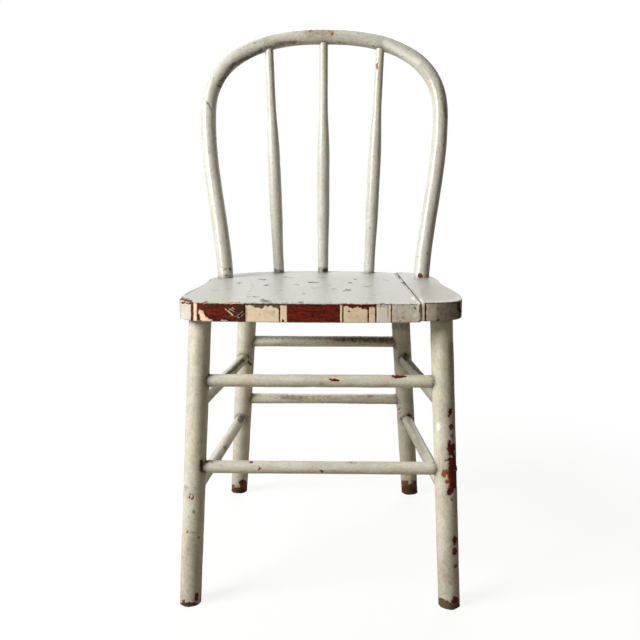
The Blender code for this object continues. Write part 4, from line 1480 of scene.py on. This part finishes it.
# DIRT is the colour of the dirt and also of the painted shade that the dirt numbers carry.
DIRT = (0.040, 0.028, 0.015, 1.0)
STAIN = (0.50, 0.29, 0.16, 1.0)
PALE_PAINT = (0.90, 0.87, 0.78, 1.0)
TOP_RAGGEDNESS = 4.6
WOOD_RAGGEDNESS = 3.6
STAIN_ON_PAINT = 0.8
STAIN_ON_CREAM = 0.6
PIT_DARKNESS = 0.75
DIRT_DARKNESS = 0.88
CREAM_ROUGHER = 0.18
WOOD_ROUGHER = 0.16
DIRT_ROUGHER = 0.42
COAT_STEP = -0.22
PIT_STEP = -0.08
BUMP = {"Distance": 0.001, "Strength": 0.8}


def peeling_paint(name, slot, shift):
    cool, warm, (drift, gloss, shine, film), (spacing, size, speck_share) = FINISHES[slot]
    finish = bpy.data.materials.new(name)
    finish.use_nodes = True
    tree = finish.node_tree
    shader = tree.nodes["Principled BSDF"]
    shader.inputs["Specular IOR Level"].default_value = shine

    def read(label):
        return add_node(tree, "Attribute", attribute_name=label).outputs["Fac"]

    where = add_node(tree, "Attribute", attribute_name=STICK_PLACE).outputs["Vector"]
    where = add_node(tree, "VectorMath", {0: where, 1: shift}, operation="ADD").outputs[0]

    def group_at_place(group, **sockets):
        return use_group(tree, group, {"Place": where, **sockets})

    def faded_noise(scale, low, high):
        return ramp_between(tree, noise_at(tree, where, scale, 4.0), low, high)

    top_gone = group_at_place(torn_edge, Depth=read("chip"), Raggedness=TOP_RAGGEDNESS)["Mask"]
    all_gone = group_at_place(torn_edge, Depth=read("wood"), Raggedness=WOOD_RAGGEDNESS)["Mask"]
    paint = group_at_place(brushed_paint, Cool=cool, Warm=warm, Drift=drift)
    wood = group_at_place(old_wood, Tone=read("tone"))
    dirt = group_at_place(grime, Amount=read("dirt"), Film=film)["Mask"]
    pits = group_at_place(specks, Spacing=spacing, Size=size, Share=speck_share)["Mask"]

    # The stain also holds a little painted shade.
    worn = math_node(tree, "MULTIPLY", read("stain"), faded_noise(170.0, 0.30, 0.75))
    # Pale paint also carries painted light and painted highlights.
    coat = mix_colours(tree, read("pale"), paint["Color"], PALE_PAINT)
    coat_stain = math_node(tree, "MULTIPLY", worn, STAIN_ON_PAINT, clamp=True)
    coat = mix_colours(tree, coat_stain, coat, STAIN)
    cream = mix_colours(tree, faded_noise(110.0, 0.42, 0.85), CREAM, CREAM_DARK)
    cream_stain = math_node(tree, "MULTIPLY", worn, STAIN_ON_CREAM, clamp=True)
    cream = mix_colours(tree, cream_stain, cream, STAIN)
    colour = mix_colours(tree, top_gone, coat, cream)
    colour = mix_colours(tree, all_gone, colour, wood["Color"])
    colour = mix_colours(tree, math_node(tree, "MULTIPLY", pits, PIT_DARKNESS), colour, DIRT)
    # The dirt mask here also holds painted shade.
    colour = mix_colours(tree, math_node(tree, "MULTIPLY", dirt, DIRT_DARKNESS), colour, DIRT)
    tree.links.new(colour, shader.inputs["Base Color"])

    rough = math_node(tree, "MULTIPLY_ADD", top_gone, CREAM_ROUGHER, gloss)
    rough = math_node(tree, "MULTIPLY_ADD", all_gone, WOOD_ROUGHER, rough)
    rough = math_node(tree, "MULTIPLY_ADD", dirt, DIRT_ROUGHER, rough)
    tree.links.new(rough, shader.inputs["Roughness"])

    steps = math_node(tree, "ADD", top_gone, all_gone)
    level = math_node(tree, "MULTIPLY_ADD", steps, COAT_STEP, paint["Height"])
    grain = math_node(tree, "MULTIPLY", wood["Height"], all_gone)
    level = math_node(tree, "ADD", level, grain)
    level = math_node(tree, "MULTIPLY_ADD", pits, PIT_STEP, level)
    bump = add_node(tree, "Bump", {"Height": level, **BUMP})
    tree.links.new(bump.outputs["Normal"], shader.inputs["Normal"])
    return finish


# Each finish lists its cool and its warm tint, then how much it drifts between them, how
# rough it is, how strongly it shines and its film of dirt, and last its specks' spacing,
# size and share.
FINISHES = {
    "seat_paint": (
        (0.495, 0.515, 0.485, 1.0),
        (0.49, 0.45, 0.38, 1.0),
        (0.4, 0.33, 0.22, 0.06),
        (62.0, 0.24, 0.55),
    ),
    "frame_paint": (
        (0.70, 0.70, 0.60, 1.0),
        (0.64, 0.57, 0.44, 1.0),
        (0.8, 0.30, 0.40, 0.22),
        (150.0, 0.15, 0.60),
    ),
    "back_paint": (
        (0.68, 0.69, 0.62, 1.0),
        (0.63, 0.58, 0.48, 1.0),
        (0.7, 0.26, 0.50, 0.20),
        (150.0, 0.15, 0.70),
    ),
}
for index, (name, piece) in enumerate(PIECES.items()):
    slot = piece["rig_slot"]
    shift = (0.37 * index, 0.0, 0.0)
    piece.data.materials.append(peeling_paint("paint_of_" + name, slot, shift))
print("materials:", len(bpy.data.materials))

# %% [markdown]
# The chair stands on a plain pale floor. To the camera the floor fades into white with
# distance, so that no horizon shows, and it keeps the chair's shadow near the feet. The
# light on the chair isn't changed by that: only rays straight from the camera see white.

# %% Floor
FLOOR_HALF = 6.0
SHADOW_NEAR = 0.45
SHADOW_FAR = 1.1
FLOOR_WHITE_NEAR = 0.86
FLOOR_WHITE_GAIN = 0.14
FLOOR_PAINT = (0.40, 0.37, 0.31, 1.0)
WHITE = (1.0, 1.0, 1.0, 1.0)

floor_shape = bmesh.new()
bmesh.ops.create_grid(floor_shape, x_segments=1, y_segments=1, size=FLOOR_HALF)
floor_mesh = bpy.data.meshes.new("floor")
floor_shape.to_mesh(floor_mesh)
floor_shape.free()
floor = bpy.data.objects.new("floor", floor_mesh)
bpy.context.scene.collection.objects.link(floor)

floor_finish = bpy.data.materials.new("pale_floor")
floor_finish.use_nodes = True
tree = floor_finish.node_tree
tree.nodes.remove(tree.nodes["Principled BSDF"])
sheet = add_node(tree, "BsdfDiffuse", {"Color": FLOOR_PAINT})
pale = add_node(tree, "BsdfDiffuse", {"Color": WHITE})
white = add_node(tree, "Emission", {"Color": WHITE, "Strength": 1.0})
spot = add_node(tree, "TexCoord").outputs["Object"]
reach = add_node(tree, "VectorMath", {0: spot}, operation="LENGTH").outputs["Value"]
fade = ramp_between(tree, reach, SHADOW_NEAR, SHADOW_FAR)
fade = math_node(tree, "MULTIPLY_ADD", fade, FLOOR_WHITE_GAIN, FLOOR_WHITE_NEAR)
seen_floor = add_node(tree, "MixShader", {0: fade, 1: pale.outputs[0], 2: white.outputs[0]})
ray = add_node(tree, "LightPath")
direct = ray.outputs["Is Camera Ray"]
floor_mix = add_node(tree, "MixShader", {0: direct, 1: sheet.outputs[0], 2: seen_floor.outputs[0]})
tree.links.new(floor_mix.outputs[0], tree.nodes["Material Output"].inputs["Surface"])
floor_mesh.materials.append(floor_finish)

# %% [markdown]
# The photograph's light comes from a wide window or softbox at the left, a little in front
# of the chair and above it. The right sides fall off to a warm olive grey. So one big area
# lamp stands at the left and a weaker one hangs above. A third one behind the chair gives
# the seat's top its sheen, and the room itself gives little.

# %% Light
TARGET = Vector((0.0, 0.0, 0.45))
LAMPS = {
    "softbox_left": ((-2.35, -1.25, 1.95), 1.5, 132.0, (1.0, 0.99, 0.965)),
    "softbox_above": ((0.2, 0.2, 2.9), 1.6, 6.0, (0.95, 0.98, 1.0)),
    "softbox_behind": ((0.2, 2.6, 2.7), 2.0, 58.0, (1.0, 0.98, 0.95)),
}
for name, (place, size, power, tint) in LAMPS.items():
    lamp_data = bpy.data.lights.new(name, "AREA")
    lamp_data.size = size
    lamp_data.energy = power
    lamp_data.color = tint
    lamp = bpy.data.objects.new(name, lamp_data)
    lamp.location = place
    lamp.rotation_euler = (TARGET - lamp.location).to_track_quat("-Z", "Y").to_euler()
    bpy.context.scene.collection.objects.link(lamp)

ROOM_LIGHT = (0.095, 0.074, 0.050, 1.0)
world = bpy.data.worlds.new("studio")
world.use_nodes = True
tree = world.node_tree
room = tree.nodes["Background"]
room.inputs["Color"].default_value = ROOM_LIGHT
backdrop = add_node(tree, "Background", {"Color": WHITE, "Strength": 1.0})
heading = add_node(tree, "TexCoord").outputs["Generated"]
ahead = add_node(tree, "SeparateXYZ", {0: heading}).outputs["Y"]
behind_chair = ramp_between(tree, ahead, 0.2, 0.8)
ray = add_node(tree, "LightPath")
glossy = math_node(tree, "MULTIPLY", ray.outputs["Is Glossy Ray"], behind_chair)
shown = math_node(tree, "MAXIMUM", ray.outputs["Is Camera Ray"], glossy)
shown = math_node(tree, "MAXIMUM", shown, ray.outputs["Is Transmission Ray"])
both = add_node(tree, "MixShader", {0: shown, 1: room.outputs[0], 2: backdrop.outputs[0]})
tree.links.new(both.outputs[0], tree.nodes["World Output"].inputs["Surface"])
bpy.context.scene.world = world
bpy.context.scene.view_settings.view_transform = "Standard"
